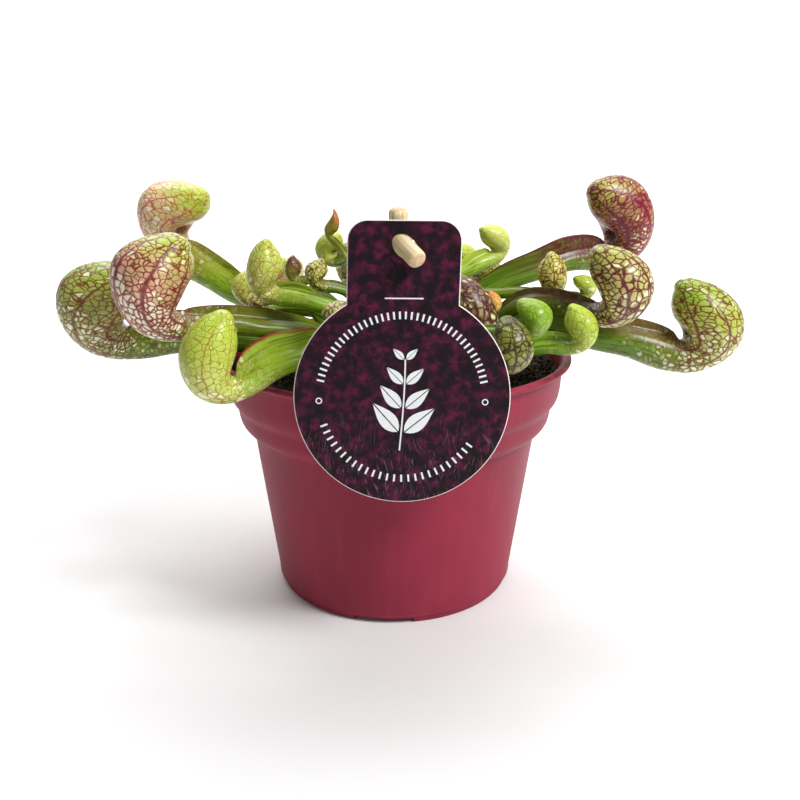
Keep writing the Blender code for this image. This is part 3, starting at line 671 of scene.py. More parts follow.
def grain_tree():
    """Strews lumpy grains over a surface."""
    tree = strewing_tree("grains")
    ball = tree.make("MeshIcoSphere", ("Radius", 1.0), ("Subdivisions", 2))
    grains = strewn(tree, ball, GRAIN_LEAST, GRAIN_MOST, (0.0, 0.0, 0.0), GRAIN_TURN)
    tree.finish(wandering(tree, grains, *GRAIN_LUMPS))
    return tree


def fibre_tree():
    """Lays short crooked fibres over a surface."""
    tree = strewing_tree("fibres", thickness="NodeSocketFloat")
    line = tree.make("CurvePrimitiveLine", ("Start", (-0.5, 0.0, 0.0)), ("End", (0.5, 0.0, 0.0)))
    fine = tree.make("ResampleCurve", ("Curve", line), ("Count", FIBRE_STEPS))
    fibres = strewn(tree, fine, FIBRE_LEAST, FIBRE_MOST, FIBRE_TURN_FROM, FIBRE_TURN_TO)
    bent = wandering(tree, fibres, *FIBRE_CROOKS)
    section = tree.make("CurvePrimitiveCircle", ("Resolution", FIBRE_SIDES),
                        ("Radius", tree.given("thickness")))
    tree.finish(tree.make("CurveToMesh", (0, bent), (1, section), ("Fill Caps", True)))
    return tree


def marks_tree():
    """Sets copies of a mark along a path, each turned to the path and shrunk towards its end."""
    tree = Tree("marks", mark="NodeSocketObject", count="NodeSocketInt",
                shrink="NodeSocketFloat", surface="NodeSocketMaterial")
    path = tree.make("MeshToCurve", (0, tree.given()))
    points = tree.add("GeometryNodeCurveToPoints", ("Curve", path), ("Count", tree.given("count")))
    mark = tree.add("GeometryNodeObjectInfo", ("Object", tree.given("mark")))
    turn = tree.add("FunctionNodeAlignRotationToVector", ("Vector", points.outputs["Tangent"]), axis="Y")
    share = tree.add("ShaderNodeMath", (0, tree.make("InputIndex")), (1, tree.given("shrink")),
                     operation="MULTIPLY")
    scale = tree.add("ShaderNodeMath", (0, 1.0), (1, share.outputs[0]), operation="SUBTRACT")
    tree.finish(tree.make("InstanceOnPoints", ("Points", points.outputs["Points"]),
                          ("Instance", mark.outputs["Geometry"]), ("Rotation", turn.outputs[0]),
                          ("Scale", scale.outputs[0])))
    return tree


# ---------------------------------------------------------------------------------------------------
# Materials
# ---------------------------------------------------------------------------------------------------


class Paint:
    """A material's nodes, and short words for wiring them."""

    def __init__(self, name, roughness=0.5, **constants):
        self.material = bpy.data.materials.new(name)
        self.material.use_nodes = True
        self.tree = self.material.node_tree
        self.surface = self.tree.nodes["Principled BSDF"]
        self.surface.inputs["Roughness"].default_value = roughness
        for label, value in constants.items():
            self.surface.inputs[label.replace("_", " ")].default_value = value

    def add(self, kind, *links, **settings):
        node = self.tree.nodes.new(kind)
        for key, value in settings.items():
            setattr(node, key, value)
        for key, value in links:
            self.feed(value, node.inputs[key])
        return node

    def feed(self, value, socket):
        if isinstance(value, bpy.types.NodeSocket):
            self.tree.links.new(value, socket)
        elif socket.type == "RGBA" and len(value) == 3:
            socket.default_value = (*value, 1.0)
        else:
            socket.default_value = value

    def place(self):
        return self.add("ShaderNodeTexCoord").outputs["Object"]

    def attribute(self, name):
        return self.add("ShaderNodeAttribute", attribute_name=name).outputs["Vector"]

    def parts(self, vector):
        return self.add("ShaderNodeSeparateXYZ", (0, vector)).outputs

    def stretched(self, vector, scale):
        return self.add("ShaderNodeMapping", ("Vector", vector), ("Scale", scale)).outputs[0]

    def math(self, operation, first, second=0.0, third=0.0):
        """One sum on up to three values, which may be links or plain numbers."""
        links = ((0, first), (1, second), (2, third))
        return self.add("ShaderNodeMath", *links, operation=operation).outputs[0]

    def times(self, first, *others):
        """The product of all the values."""
        for other in others:
            first = self.math("MULTIPLY", first, other)
        return first

    def sum_of(self, first, factor, second):
        """first times factor, plus second."""
        return self.math("MULTIPLY_ADD", first, factor, second)

    def moved(self, vector, scale, detail, amount):
        """The vector shifted by a colour noise of its own."""
        shift = self.noise(vector, scale, detail, "Color")
        centred = self.add("ShaderNodeVectorMath", (0, shift), (1, (0.5, 0.5, 0.5)), operation="SUBTRACT")
        sized = self.add("ShaderNodeVectorMath", (0, centred.outputs[0]), ("Scale", amount),
                         operation="SCALE")
        return self.add("ShaderNodeVectorMath", (0, vector), (1, sized.outputs[0])).outputs[0]

    def noise(self, vector, scale, detail=3.0, output="Fac", **more):
        links = (("Vector", vector), ("Scale", scale), ("Detail", detail), *more.items())
        return self.add("ShaderNodeTexNoise", *links).outputs[output]

    def cells(self, vector, scale, feature="F1"):
        return self.add("ShaderNodeTexVoronoi", ("Vector", vector), ("Scale", scale), feature=feature)

    def rise(self, value, low, high, first=0.0, last=1.0):
        """Eases from first to last while the value goes from low to high."""
        links = ((0, value), (1, low), (2, high), (3, first), (4, last))
        return self.add("ShaderNodeMapRange", *links, interpolation_type="SMOOTHSTEP").outputs[0]

    def mix(self, share, first, second):
        """The first colour, with a share of the second over it."""
        links = ((0, share), (6, first), (7, second))
        return self.add("ShaderNodeMix", *links, data_type="RGBA").outputs[2]

    def colour(self, value):
        self.feed(value, self.surface.inputs["Base Color"])

    def rough(self, value):
        self.feed(value, self.surface.inputs["Roughness"])

    def relief(self, height, distance, strength=1.0):
        bump = self.add(
            "ShaderNodeBump", ("Height", height), ("Distance", distance), ("Strength", strength)
        )
        self.tree.links.new(bump.outputs[0], self.surface.inputs["Normal"])


def pot_plastic(sizes):
    """Moulded plastic: faint flow lines up the wall, fine grain, scuffs and a dusting of peat."""
    paint = Paint("pot_plastic", Specular_IOR_Level=0.22)
    place = paint.place()
    cloud = paint.noise(place, 26.0, 4.0)
    flow = paint.noise(paint.stretched(place, (260.0, 260.0, 9.0)), 1.0, 2.0)
    grain = paint.noise(place, 2600.0, 2.0)
    fine = paint.noise(place, 420.0, 5.0)
    base = paint.mix(paint.rise(cloud, 0.30, 0.70), tuple(sizes.shade), tuple(sizes.colour))
    base = paint.mix(paint.rise(flow, 0.45, 0.85, 0.0, 0.12), base, tone(182, 84, 100))
    specks = paint.rise(paint.cells(place, 330.0).outputs["Distance"], 0.10, 0.04)
    chosen = paint.rise(paint.noise(place, 75.0, 2.0), 0.64, 0.70)
    base = paint.mix(paint.times(specks, chosen, 0.7), base, tone(70, 26, 32))
    near_lip = paint.rise(paint.parts(place)[2], 0.0795, 0.0815, 0.0, 0.45)
    dust = paint.times(paint.rise(fine, 0.50, 0.62), near_lip)
    paint.colour(paint.mix(dust, base, tone(70, 38, 28)))
    paint.rough(paint.rise(cloud, 0.3, 0.7, 0.48, 0.60))
    paint.relief(paint.sum_of(grain, 0.35, paint.times(flow, 0.8)), 0.00003, 0.5)
    return paint.material


def peat_soil(name, sizes, lightness):
    """Dark damp peat. lightness is the share of drier, browner grains."""
    paint = Paint(name, roughness=0.95, Specular_IOR_Level=0.2)
    place = paint.place()
    patch = paint.noise(place, 900.0, 3.0)
    grit = paint.noise(place, 2400.0, 4.0)
    brown = paint.rise(patch, 0.66 - lightness, 0.80 - 0.5 * lightness)
    colour = paint.mix(brown, tuple(sizes.dark), tuple(sizes.light))
    paint.colour(paint.mix(paint.rise(grit, 0.6, 0.75, 0.0, 0.4), colour, tone(120, 88, 58)))
    paint.relief(grit, 0.0006, 0.9)
    return paint.material


def fibre_skin(sizes):
    """The streaked skin of the root fibres."""
    paint = Paint("peat_fibre", roughness=0.85)
    streak = paint.noise(paint.place(), 700.0, 2.0)
    paint.colour(paint.mix(paint.rise(streak, 0.35, 0.65), tone(58, 38, 24), tuple(sizes.fibre)))
    paint.relief(paint.noise(paint.place(), 3000.0, 2.0), 0.0001)
    return paint.material


def crown_bark():
    """The rhizome's scaly brown skin, with green at the growing top."""
    paint = Paint("rhizome_bark", roughness=0.8)
    place = paint.place()
    scales = paint.cells(paint.stretched(place, (520.0, 520.0, 300.0)), 1.0, "DISTANCE_TO_EDGE")
    gap = paint.rise(scales.outputs["Distance"], 0.02, 0.14)
    mottle = paint.noise(place, 500.0, 4.0)
    base = paint.mix(mottle, tone(70, 44, 24), tone(128, 96, 52))
    top = paint.rise(paint.parts(place)[2], 0.078, 0.087, 0.0, 0.75)
    base = paint.mix(top, base, tone(128, 138, 60))
    paint.colour(paint.mix(gap, tone(38, 24, 14), base))
    paint.relief(gap, 0.0004)
    return paint.material


def pale_wood(sizes):
    """Sanded wood: long grain, pores and a few darker streaks. Reads each stick's own grain place."""
    paint = Paint("pale_wood", roughness=0.62, Specular_IOR_Level=0.35)
    place = paint.attribute("grain_place")
    bands = paint.noise(paint.stretched(place, (900.0, 900.0, 26.0)), 1.0, 4.0)
    pores = paint.noise(paint.stretched(place, (3200.0, 3200.0, 160.0)), 1.0, 2.0)
    cloud = paint.noise(paint.stretched(place, (160.0, 160.0, 60.0)), 1.0, 2.0)
    base = paint.mix(paint.rise(bands, 0.42, 0.72), tuple(sizes.pale), tuple(sizes.grain))
    base = paint.mix(paint.rise(cloud, 0.5, 0.75, 0.0, 0.35), base, tone(222, 186, 140))
    base = paint.mix(paint.rise(pores, 0.60, 0.72, 0.0, 0.55), base, tone(150, 112, 72))
    paint.colour(base)
    paint.relief(paint.math("ADD", pores, bands), 0.00009, 0.8)
    return paint.material


def end_wood(sizes):
    """The sawn end of a stick, with open pores."""
    paint = Paint("end_grain", roughness=0.8)
    place = paint.attribute("grain_place")
    pores = paint.cells(place, 3000.0).outputs["Distance"]
    tint = paint.noise(place, 900.0, 2.0)
    base = paint.mix(tint, tuple(sizes.end), tuple(sizes.pale))
    paint.colour(paint.mix(paint.rise(pores, 0.34, 0.16), base, tone(156, 92, 70)))
    paint.relief(pores, 0.0001)
    return paint.material


def printed_ground(sizes):
    """The tag's printed ground: a dark mottled bloom with fine strokes rising from its foot."""
    paint = Paint("printed_ground", roughness=0.50, Specular_IOR_Level=0.22)
    place = paint.attribute("card_place")
    warp = paint.moved(place, 0.22, 2.0, 3.0)
    cloud = paint.noise(warp, 0.23, 3.0)
    mottle = paint.noise(warp, 0.40, 4.0, Roughness=0.55)
    patch = paint.times(paint.rise(cloud, 0.36, 0.62), paint.rise(mottle, 0.36, 0.66))
    base = paint.mix(patch, tuple(sizes.ground), tuple(sizes.bloom))
    speck = paint.noise(place, 4.5, 3.0)
    base = paint.mix(paint.rise(speck, 0.60, 0.78, 0.0, 0.18), base, tone(110, 44, 80))
    swirl = paint.moved(place, 0.06, 1.0, 14.0)
    strokes = paint.noise(paint.stretched(swirl, (3.4, 0.16, 1.0)), 1.0, 2.0)
    low = paint.rise(paint.parts(place)[1], 2.0, -18.0)
    base = paint.mix(paint.times(paint.rise(strokes, 0.60, 0.68), low, 0.55), base, tone(132, 100, 116))
    base = paint.mix(paint.times(paint.rise(strokes, 0.42, 0.34), low, 0.8), base, tone(16, 9, 14))
    paint.colour(base)
    paint.rough(paint.rise(paint.noise(place, 1.1, 3.0), 0.3, 0.7, 0.46, 0.58))
    paint.relief(paint.noise(place, 6.0, 2.0), 0.00003, 0.5)
    return paint.material


def bare_card(sizes):
    """The tag's back and edge, with the card's pulp showing."""
    paint = Paint("bare_card", roughness=0.8, Specular_IOR_Level=0.3)
    pulp = paint.noise(paint.attribute("card_place"), 1.6, 5.0)
    paint.colour(paint.mix(paint.rise(pulp, 0.3, 0.75), tuple(sizes.card), tone(212, 206, 198)))
    paint.relief(pulp, 0.00005)
    return paint.material


def mark_ink(sizes):
    """The pale ink of the marks, a little worn."""
    paint = Paint("mark_ink", roughness=0.4)
    wear = paint.noise(paint.place(), 1500.0, 3.0)
    paint.colour(paint.mix(paint.rise(wear, 0.60, 0.8, 0.0, 0.35), tuple(sizes.ink), tone(190, 180, 188)))
    paint.relief(wear, 0.00001)
    return paint.material


def pitcher_skin(name, look, sizes):
    """Waxy leaf skin: a net of veins over the hood with pale windows in it, on a streaked green tube.

    Reads skin_place, the skin laid out in millimetres, and zone: how far along the pitcher, how much of
    the wing, and how far round from the wing a point lies. open_mouth is 1 in the mouth.
    """
    paint = Paint(name, roughness=sizes.waxy, Specular_IOR_Level=0.40, Subsurface_Weight=0.10,
                  Subsurface_Scale=0.001, Coat_Weight=0.06, Coat_Roughness=0.2)
    paint.surface.inputs["Subsurface Radius"].default_value = (1.0, 0.8, 0.3)
    skin = paint.attribute("skin_place")
    along, wing, side = paint.parts(paint.attribute("zone"))
    ragged = paint.sum_of(paint.noise(skin, 0.35, 2.0), 0.30, along)
    hood = paint.rise(ragged, 1.16, 1.44)
    veined = paint.rise(ragged, 1.08, 1.36)

    # The net: cells between branching veins, a finer lace inside them, and long veins to the beak.
    warped = paint.moved(skin, 0.42, 2.0, 1.1)
    net = paint.cells(warped, 1 / look.cell, "DISTANCE_TO_EDGE").outputs["Distance"]
    thick = paint.rise(paint.noise(skin, 0.20, 2.0), 0.3, 0.7, 0.65, 1.5)
    from_vein = paint.math("DIVIDE", net, paint.times(thick, look.net_width))
    web = paint.rise(from_vein, 0.35, 1.35, 1.0, 0.0)
    fine = paint.cells(warped, 2.3 / look.cell, "DISTANCE_TO_EDGE").outputs["Distance"]
    lace = paint.rise(fine, 0.02, 0.09, 0.28, 0.0)
    bend = paint.sum_of(paint.noise(skin, 0.16, 2.0), 0.16, paint.times(side, 3.3))
    apart = paint.math("PINGPONG", bend, 0.5)
    reach = paint.times(paint.rise(along, 1.0, 1.9, 1.0, 0.55), look.long_width)
    longs = paint.rise(paint.math("DIVIDE", apart, reach), 0.30, 1.25, 1.0, 0.0)
    veins = paint.math("MAXIMUM", paint.math("MAXIMUM", web, lace), paint.times(longs, 0.92))
    veins = paint.times(veins, veined, look.strength)

    # Flesh: green low on the hood, blushed over its middle, fresh green again at the crown.
    patchy = paint.noise(skin, 0.10, 3.0)
    crown = paint.rise(paint.sum_of(patchy, 0.5, along), 1.72, 2.15)
    flesh = paint.mix(crown, look.low, look.crown)
    middle = paint.times(paint.rise(along, 1.10, 1.35), paint.rise(along, 1.98, 1.70))
    blotch = paint.times(paint.rise(patchy, 0.30, 0.52, 0.60, 1.0), paint.rise(apart, 0.05, 0.40, 1.0, 0.72))
    flesh = paint.mix(paint.times(middle, blotch, look.blush_share), flesh, look.blush)

    # The tube: streaked, ribbed lengthwise, with painted shade on its underside, and brown at its root.
    streak = paint.noise(paint.stretched(skin, (1.5, 1.5, 0.10)), 1.0, 3.0)
    tube = paint.mix(paint.rise(streak, 0.26, 0.54), look.shade, look.tube)
    # Painted shade: the darker green laid over the tube's underside, away from the wing.
    tube = paint.mix(paint.rise(side, 0.45, 1.0, 0.0, 0.55), tube, look.shade)
    rib = paint.math("PINGPONG", paint.sum_of(side, 11.0, streak), 0.5)
    tube = paint.mix(paint.rise(rib, 0.02, 0.12, 0.30, 0.0), tube, look.shade)
    tube = paint.mix(paint.rise(along, 0.14, 0.0, 0.0, 0.8), tube, tone(150, 112, 74))
    colour = paint.mix(hood, tube, flesh)

    # Windows: whole cells with no green in them, most of them over the neck and low on the hood.
    lot = paint.parts(paint.cells(warped, 1 / look.cell).outputs["Color"])[0]
    inside = paint.rise(from_vein, 1.4, 2.8)
    band = paint.times(
        paint.rise(ragged, 1.12, 1.30), paint.rise(along, 1.72, 1.46, 0.12, 1.0),
        paint.rise(patchy, 0.34, 0.52, 0.55, 1.25), paint.rise(side, 0.10, 0.45, 0.45, 1.0),
    )
    share = paint.times(band, look.window_share)
    chosen = paint.rise(paint.math("SUBTRACT", share, lot), -0.02, 0.06)
    windows = paint.times(inside, chosen, veined)
    glow = paint.times(inside, band, 0.45 * look.window_share + 0.08)
    colour = paint.mix(glow, colour, look.window)
    colour = paint.mix(windows, colour, look.window)
    colour = paint.mix(veins, colour, look.vein)

    # The wing's coloured hem, and a flush that runs down from the neck on the deeper pitchers.
    uneven = paint.noise(skin, 0.8, 3.0)
    flush = paint.times(
        paint.rise(ragged, 0.60, 1.15), paint.rise(ragged, 1.60, 1.30), paint.rise(side, 0.55, 0.10),
        paint.rise(uneven, 0.30, 0.60, 0.55, 1.0), look.flush,
    )
    colour = paint.mix(flush, colour, look.wing)
    hem = paint.times(paint.rise(wing, 0.80, 0.97), look.wing_share)
    colour = paint.mix(hem, colour, look.wing)
    # Painted shade: the mouth's dent is coloured dark, standing in for the shadow in the pitcher's hole.
    mouth = paint.parts(paint.attribute("open_mouth"))[0]
    paint.colour(paint.mix(mouth, colour, look.mouth))

    # Cells swell between the veins, and the windows are a little duller than the rest.
    paint.rough(paint.rise(windows, 0.0, 1.0, sizes.waxy, sizes.waxy + 0.08))
    swell = paint.times(paint.rise(from_vein, 0.0, 3.0), veined)
    paint.relief(paint.sum_of(streak, 0.35, paint.sum_of(uneven, 0.25, swell)), sizes.relief, 0.6)
    return paint.material


def stage_surface(colour):
    """The plain matt floor and backdrop."""
    paint = Paint("stage_floor", roughness=0.9, Specular_IOR_Level=0.1)
    paint.colour(tuple(colour))
    return paint.material


# ---------------------------------------------------------------------------------------------------
# Pot, peat and crown
# ---------------------------------------------------------------------------------------------------


def chain(points):
    """The edges that join points in a row."""
    return [(i, i + 1) for i in range(len(points) - 1)]


def turned(name, section, steps, surface):
    """A turned piece from its section in millimetres."""
    points = [(radius, 0.0, height) for radius, height in section]
    drawn = mesh_object(name + "_section", points, edges=chain(points))
    made = turning_tree().apply(drawn, name, steps=steps, surface=surface)
    outward(made)
    return made


def take_away(made, cutters):
    """Cuts the cutters out of the piece and removes them."""
    for cutter in cutters:
        cut = made.modifiers.new("cut", "BOOLEAN")
        cut.operation = "DIFFERENCE"
        cut.solver = "EXACT"
        cut.object = cutter
    done = plain_mesh(made, made.name)
    for cutter in cutters:
        bpy.data.objects.remove(cutter, do_unlink=True)
    return done


def cutter_at(name, shape, place, turn=0.0):
    """A cutter from a shape in millimetres, set at a place and turned about Z."""
    bmesh.ops.scale(shape, vec=(MM, MM, MM), verts=shape.verts)
    made = new_object(name, shape_to_mesh(shape, bpy.data.meshes.new(name)))
    made.location = np.array(place) * MM
    made.rotation_euler[2] = turn
    return made


def block(size, place, turn):
    """A box to cut with."""
    shape = bmesh.new()
    bmesh.ops.create_cube(shape, size=1.0)
    bmesh.ops.scale(shape, vec=size, verts=shape.verts)
    return cutter_at("block", shape, place, turn)


def drill(radius, place, depth):
    """An upright cylinder to cut with."""
    shape = bmesh.new()
    bmesh.ops.create_cone(shape, cap_ends=True, segments=DRILL_FACETS, radius1=radius, radius2=radius,
                          depth=depth)
    return cutter_at("drill", shape, place)


def around(radius, first, count):
    """Places round a circle in the XY plane, with their angles."""
    for index in range(count):
        turn = math.radians(first + 360 * index / count)
        yield radius * math.cos(turn), radius * math.sin(turn), turn


def build_pot(sizes):
    """The pot: turned, rounded at its corners, with notches in its foot and drain holes."""
    low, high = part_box("pot")
    grown = (high[0] - low[0]) / 2 / MM / DRAWN_LIP_RADIUS
    section = eased([(r * grown, z * grown) for r, z in POT_SECTION], POT_EASE)
    made = turned("nursery_pot", section, sizes.steps, pot_plastic(sizes))
    width, depth, height = FOOT_NOTCH
    cutters = [
        block((depth, width, 2 * height), (x, y, 0.0), turn)
        for x, y, turn in around(POT_SECTION[-4][0], FOOT_NOTCH_FIRST, FOOT_NOTCHES)
    ]
    half_step = 180 / DRAIN_HOLES
    cutters += [
        drill(DRAIN_HOLE_RADIUS, (x, y, POT_FLOOR_MIDDLE), DRILL_DEPTH)
        for x, y, _ in around(DRAIN_RING_RADIUS, FOOT_NOTCH_FIRST + half_step, DRAIN_HOLES)
    ]
    made = take_away(made, cutters)
    smooth(made)
    declare(made, "pot", "pot")


def peat_top_height(radius):
    """The drawn height of the peat at a distance from the pot's axis."""
    radii, heights = zip((WELL_RADIUS + 0.01, PEAT_TOP[2][1]), *PEAT_TOP[3:], PEAT_SIDE[0])
    return float(np.interp(radius, radii, heights))


def rough_height(x, y):
    """How far the peat's surface stands above its drawn height, in millimetres."""
    return float(sum(size * np.sin(a * x + b * y + shift) for a, b, shift, size in PEAT_WAVES))


def build_peat(sizes):
    """The block of peat in one piece, with a rough top and a hole for the stake."""
    radii = np.arange(WELL_RADIUS + PEAT_TOP_STEP, PEAT_RADIUS, PEAT_TOP_STEP)
    section = [*PEAT_TOP[:3], *((r, peat_top_height(r)) for r in radii), *PEAT_SIDE]
    made = turned("peat_block", section, PEAT_FACETS, peat_soil("peat_soil", sizes, lightness=0.10))
    for vertex in made.data.vertices:
        x, y, z = vertex.co / MM
        radius = math.hypot(x, y)
        if z > ROUGH_ABOVE and radius > WELL_RADIUS + 0.1:
            ease = min(1.0, (PEAT_RADIUS - radius) / CALM_AT_POT, (radius - WELL_RADIUS) / CALM_AT_CROWN)
            vertex.co.z += rough_height(x, y) * max(0.0, ease) * MM
    made = take_away(made, [stake_space("hole", HOLE_FACETS)])
    smooth(made, angle=60.0)
    declare(made, "peat", "peat")
    strew_peat(sizes)


def flat_ring(inner, outer, height):
    """A ring of surface to strew things on. height is a function of the radius and the place."""
    points, faces = [], []
    for radius in np.linspace(inner, outer, BED_RINGS):
        for turn in np.linspace(0, 2 * math.pi, BED_SIDES, endpoint=False):
            x, y = radius * math.cos(turn), radius * math.sin(turn)
            points.append((x, y, height(radius, x, y)))
    for ring in range(BED_RINGS - 1):
        faces += ring_faces(ring, BED_SIDES, flipped=True)
    return mesh_object("bed", points, faces)


def ring_faces(ring, sides, flipped=False):
    """The faces between one ring of points and the next."""
    faces = []
    for side in range(sides):
        here, beside = ring * sides + side, ring * sides + (side + 1) % sides
        face = (here, beside, beside + sides, here + sides)
        faces.append((here, *reversed(face[1:])) if flipped else face)
    return faces


def strew_peat(sizes):
    """Grains over the peat and along the pot's lip, and fibres over the peat."""

    def ground(radius, x, y):
        return peat_top_height(radius) + BED_LIFT + BED_ROUGHNESS * rough_height(x, y)

    def lip(*_):
        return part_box("pot")[1][2] / MM - LIP_BED_DROP

    grains, fibres = grain_tree(), fibre_tree()
    dry = peat_soil("peat_grains", sizes, lightness=0.16)
    peat_bed = flat_ring(BED_START, PEAT_RADIUS - GRAIN_MARGIN, ground)
    fibre_bed = flat_ring(BED_START, PEAT_RADIUS - FIBRE_MARGIN, ground)
    strewn_pieces = (
        (grains.apply(peat_bed, "peat_grains", density=GRAIN_DENSITY, size=sizes.grain,
                      seed=sizes.seed, surface=dry), 50.0),
        (grains.apply(flat_ring(*LIP_BED, lip), "lip_grains", density=LIP_GRAIN_DENSITY,
                      size=sizes.grain * LIP_GRAIN_SHARE, seed=sizes.seed + 1, surface=dry), 50.0),
        (fibres.apply(fibre_bed, "peat_fibres", density=FIBRE_DENSITY, size=FIBRE_LENGTH * MM,
                      thickness=FIBRE_THICKNESS * MM, seed=sizes.seed, surface=fibre_skin(sizes)), 60.0),
    )
    for made, crease in strewn_pieces:
        outward(made)
        smooth(made, crease)
        declare(made, "peat")


def crown_facts():
    """Centre and radii of the rhizome's dome, in millimetres."""
    low, high = (np.array(corner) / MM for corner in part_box("rhizome"))
    radius = (high[0] - low[0]) / 2
    return np.array((0.0, 0.0, high[2] - CROWN_HEIGHT)), np.array((radius, radius, CROWN_HEIGHT))


def build_crown():
    """The rhizome: a dome ringed with the scars of old leaves, on a plug in the peat."""
    centre, radii = crown_facts()
    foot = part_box("rhizome")[0][2] / MM
    section = [(0.0, centre[2] + CROWN_DOME_HEIGHT)]
    for angle in np.radians(np.linspace(90, 0, CROWN_STEPS))[1:]:
        scar = SCAR_HEIGHT * math.sin(angle * SCAR_PACE) if angle < SCARS_END else 0.0
        across = (radii[0] - CROWN_INSET + scar) * math.cos(angle)
        section.append((across, centre[2] + (CROWN_DOME_HEIGHT + scar) * math.sin(angle)))
    section += [(radii[0] - CROWN_PLUG_INSET, foot), (0.0, foot)]
    made = turned("crown_rhizome", section, CROWN_FACETS, crown_bark())
    smooth(made, angle=50.0)
    declare(made, "rhizome", "rhizome")


# ---------------------------------------------------------------------------------------------------
# Stake, peg and tag
# ---------------------------------------------------------------------------------------------------


def stick(name, radius, length, steps):
    """A round stick along +Z with a worn far end."""
    turns = np.linspace(0.0, math.pi / 2, ROUNDING_STEPS)
    section = [(0.0, length)]
    section += [
        (radius - ROUNDING + ROUNDING * math.sin(t), length - ROUNDING * (1 - math.cos(t))) for t in turns
    ]
    shares = np.linspace(0, 1, STICK_RINGS)[1:]
    section += [(radius, (length - ROUNDING) * (1 - share)) for share in shares]
    section.append((0.0, 0.0))
    return turned(name, section, steps, None)


def stake_space(name, steps):
    """The room that the stake takes up in another piece, as a cutter."""
    made = stick(name, STAKE_RADIUS + FIT, STAKE_LENGTH, steps)
    made.matrix_world = stake_matrix()
    return made


def remember_place(made, name, matrix, unit_length=1.0):
    """Stores where each point lies in the piece's own directions, which the matrix turned."""
    back = matrix.inverted()
    store(made, name, [back @ vertex.co / unit_length for vertex in made.data.vertices])


def stake_matrix():
    """The stake's place: its foot and its lean."""
    place = Matrix.Translation(np.array(STAKE_FOOT) * MM)
    return place @ Matrix.Rotation(math.radians(STAKE_LEAN), 4, "X")


def peg_matrix():
    """The peg's place: its back end, its turn and its drop."""
    place = Matrix.Translation(np.array(PEG_BACK) * MM)
    turn = Matrix.Rotation(math.radians(PEG_TURN), 4, "Z")
    return place @ turn @ Matrix.Rotation(math.radians(90 + PEG_DROP), 4, "X")


def set_down(made, matrix):
    """Puts the piece in place with its place kept in its mesh."""
    made.data.transform(matrix)
    made.matrix_world = Matrix.Identity(4)


def mark_ends(made, matrix, reach):
    """Gives the faces across the far end of a stick the second material."""
    axis = (matrix.to_3x3() @ Vector((0, 0, 1))).normalized()
    foot = matrix.translation
    for face in made.data.polygons:
        across = face.normal.dot(axis) > ENDWAYS and (face.center - foot).dot(axis) > reach
        face.material_index = int(across)


def finish_stick(made, matrix, length, woods, node):
    """Gives a stick in its place its grain and its sawn end."""
    remember_place(made, "grain_place", matrix)
    smooth(made)
    lay_on(made, *woods)
    mark_ends(made, matrix, length * MM * END_SHARE)
    declare(made, "wood", node)


def build_wood(sizes):
    """The stake, and the peg that is hollowed where it meets the stake."""
    woods = (pale_wood(sizes), end_wood(sizes))
    stake = stick("wooden_stake", STAKE_RADIUS, STAKE_LENGTH, STICK_FACETS)
    for vertex in stake.data.vertices:
        around_it = math.atan2(vertex.co.y, vertex.co.x)
        flute = 1 + FLUTE_HEIGHT * math.sin(FLUTES * around_it + vertex.co.z * FLUTE_TWIST)
        vertex.co.x *= flute
        vertex.co.y *= flute
    set_down(stake, stake_matrix())
    finish_stick(stake, stake_matrix(), STAKE_LENGTH, woods, "tag_stake")
    peg = stick("wooden_peg", PEG_RADIUS, PEG_LENGTH, STICK_FACETS)
    peg.matrix_world = peg_matrix()
    peg = take_away(peg, [stake_space("side", NEAT_HOLE_FACETS)])
    finish_stick(peg, peg_matrix(), PEG_LENGTH, woods, "tag_peg")


def arc(centre, radius, first, last, count):
    """Points on part of a circle, between two angles in radians."""
    return [
        (centre[0] + radius * math.cos(turn), centre[1] + radius * math.sin(turn))
        for turn in np.linspace(first, last, count)
    ]


def tag_outline():
    """Round the disc from where the neck leaves it, then up the neck and across its rounded top."""
    leave = math.asin(TAG_NECK_HALF / TAG_DISC_RADIUS)
    outline = arc(TAG_DISC_CENTRE, TAG_DISC_RADIUS, math.pi / 2 - leave, leave - 3 * math.pi / 2,
                  TAG_DISC_STEPS)
    for side, first, last in ((-1, math.pi, math.pi / 2), (1, math.pi / 2, 0.0)):
        corner = (side * (TAG_NECK_HALF - TAG_CORNER), TAG_NECK_TOP - TAG_CORNER)
        outline += arc(corner, TAG_CORNER, first, last, TAG_CORNER_STEPS)
    return outline


def tag_matrix():
    """The tag's place: where it hangs, its lean and its roll."""
    lean = Matrix.Rotation(math.radians(90 - TAG_LEAN), 4, "X")
    roll = Matrix.Rotation(math.radians(-TAG_ROLL), 4, "Z")
    return Matrix.Translation(np.array(TAG_AT) * MM) @ lean @ roll


def filled(name, outlines, thickness):
    """A flat shape from closed outlines in millimetres, its front on Z = 0 and its body behind."""
    curve = bpy.data.curves.new(name, "CURVE")
    curve.dimensions = "2D"
    curve.fill_mode = "BOTH"
    curve.extrude = thickness / 2 * MM
    for outline in outlines:
        line = curve.splines.new("POLY")
        line.points.add(len(outline) - 1)
        for point, (x, y) in zip(line.points, outline):
            point.co = (x * MM, y * MM, 0.0, 1.0)
        line.use_cyclic_u = True
    made = plain_mesh(new_object(name, curve), name)
    made.data.transform(Matrix.Translation((0.0, 0.0, -thickness / 2 * MM)))
    outward(made)
    return made


def chamfer_front(made):
    """Breaks the front's edge, so that a line of bare card shows round the print."""
    shape = bmesh.new()
    shape.from_mesh(made.data)
    edges = [
        edge for edge in shape.edges
        if len(edge.link_faces) == 2
        and max(face.normal.z for face in edge.link_faces) > FACING
        and min(abs(face.normal.z) for face in edge.link_faces) < 1 - FACING
    ]
    bmesh.ops.bevel(shape, geom=edges, offset=CARD_CHAMFER * MM, segments=1, affect="EDGES")
    shape_to_mesh(shape, made.data)


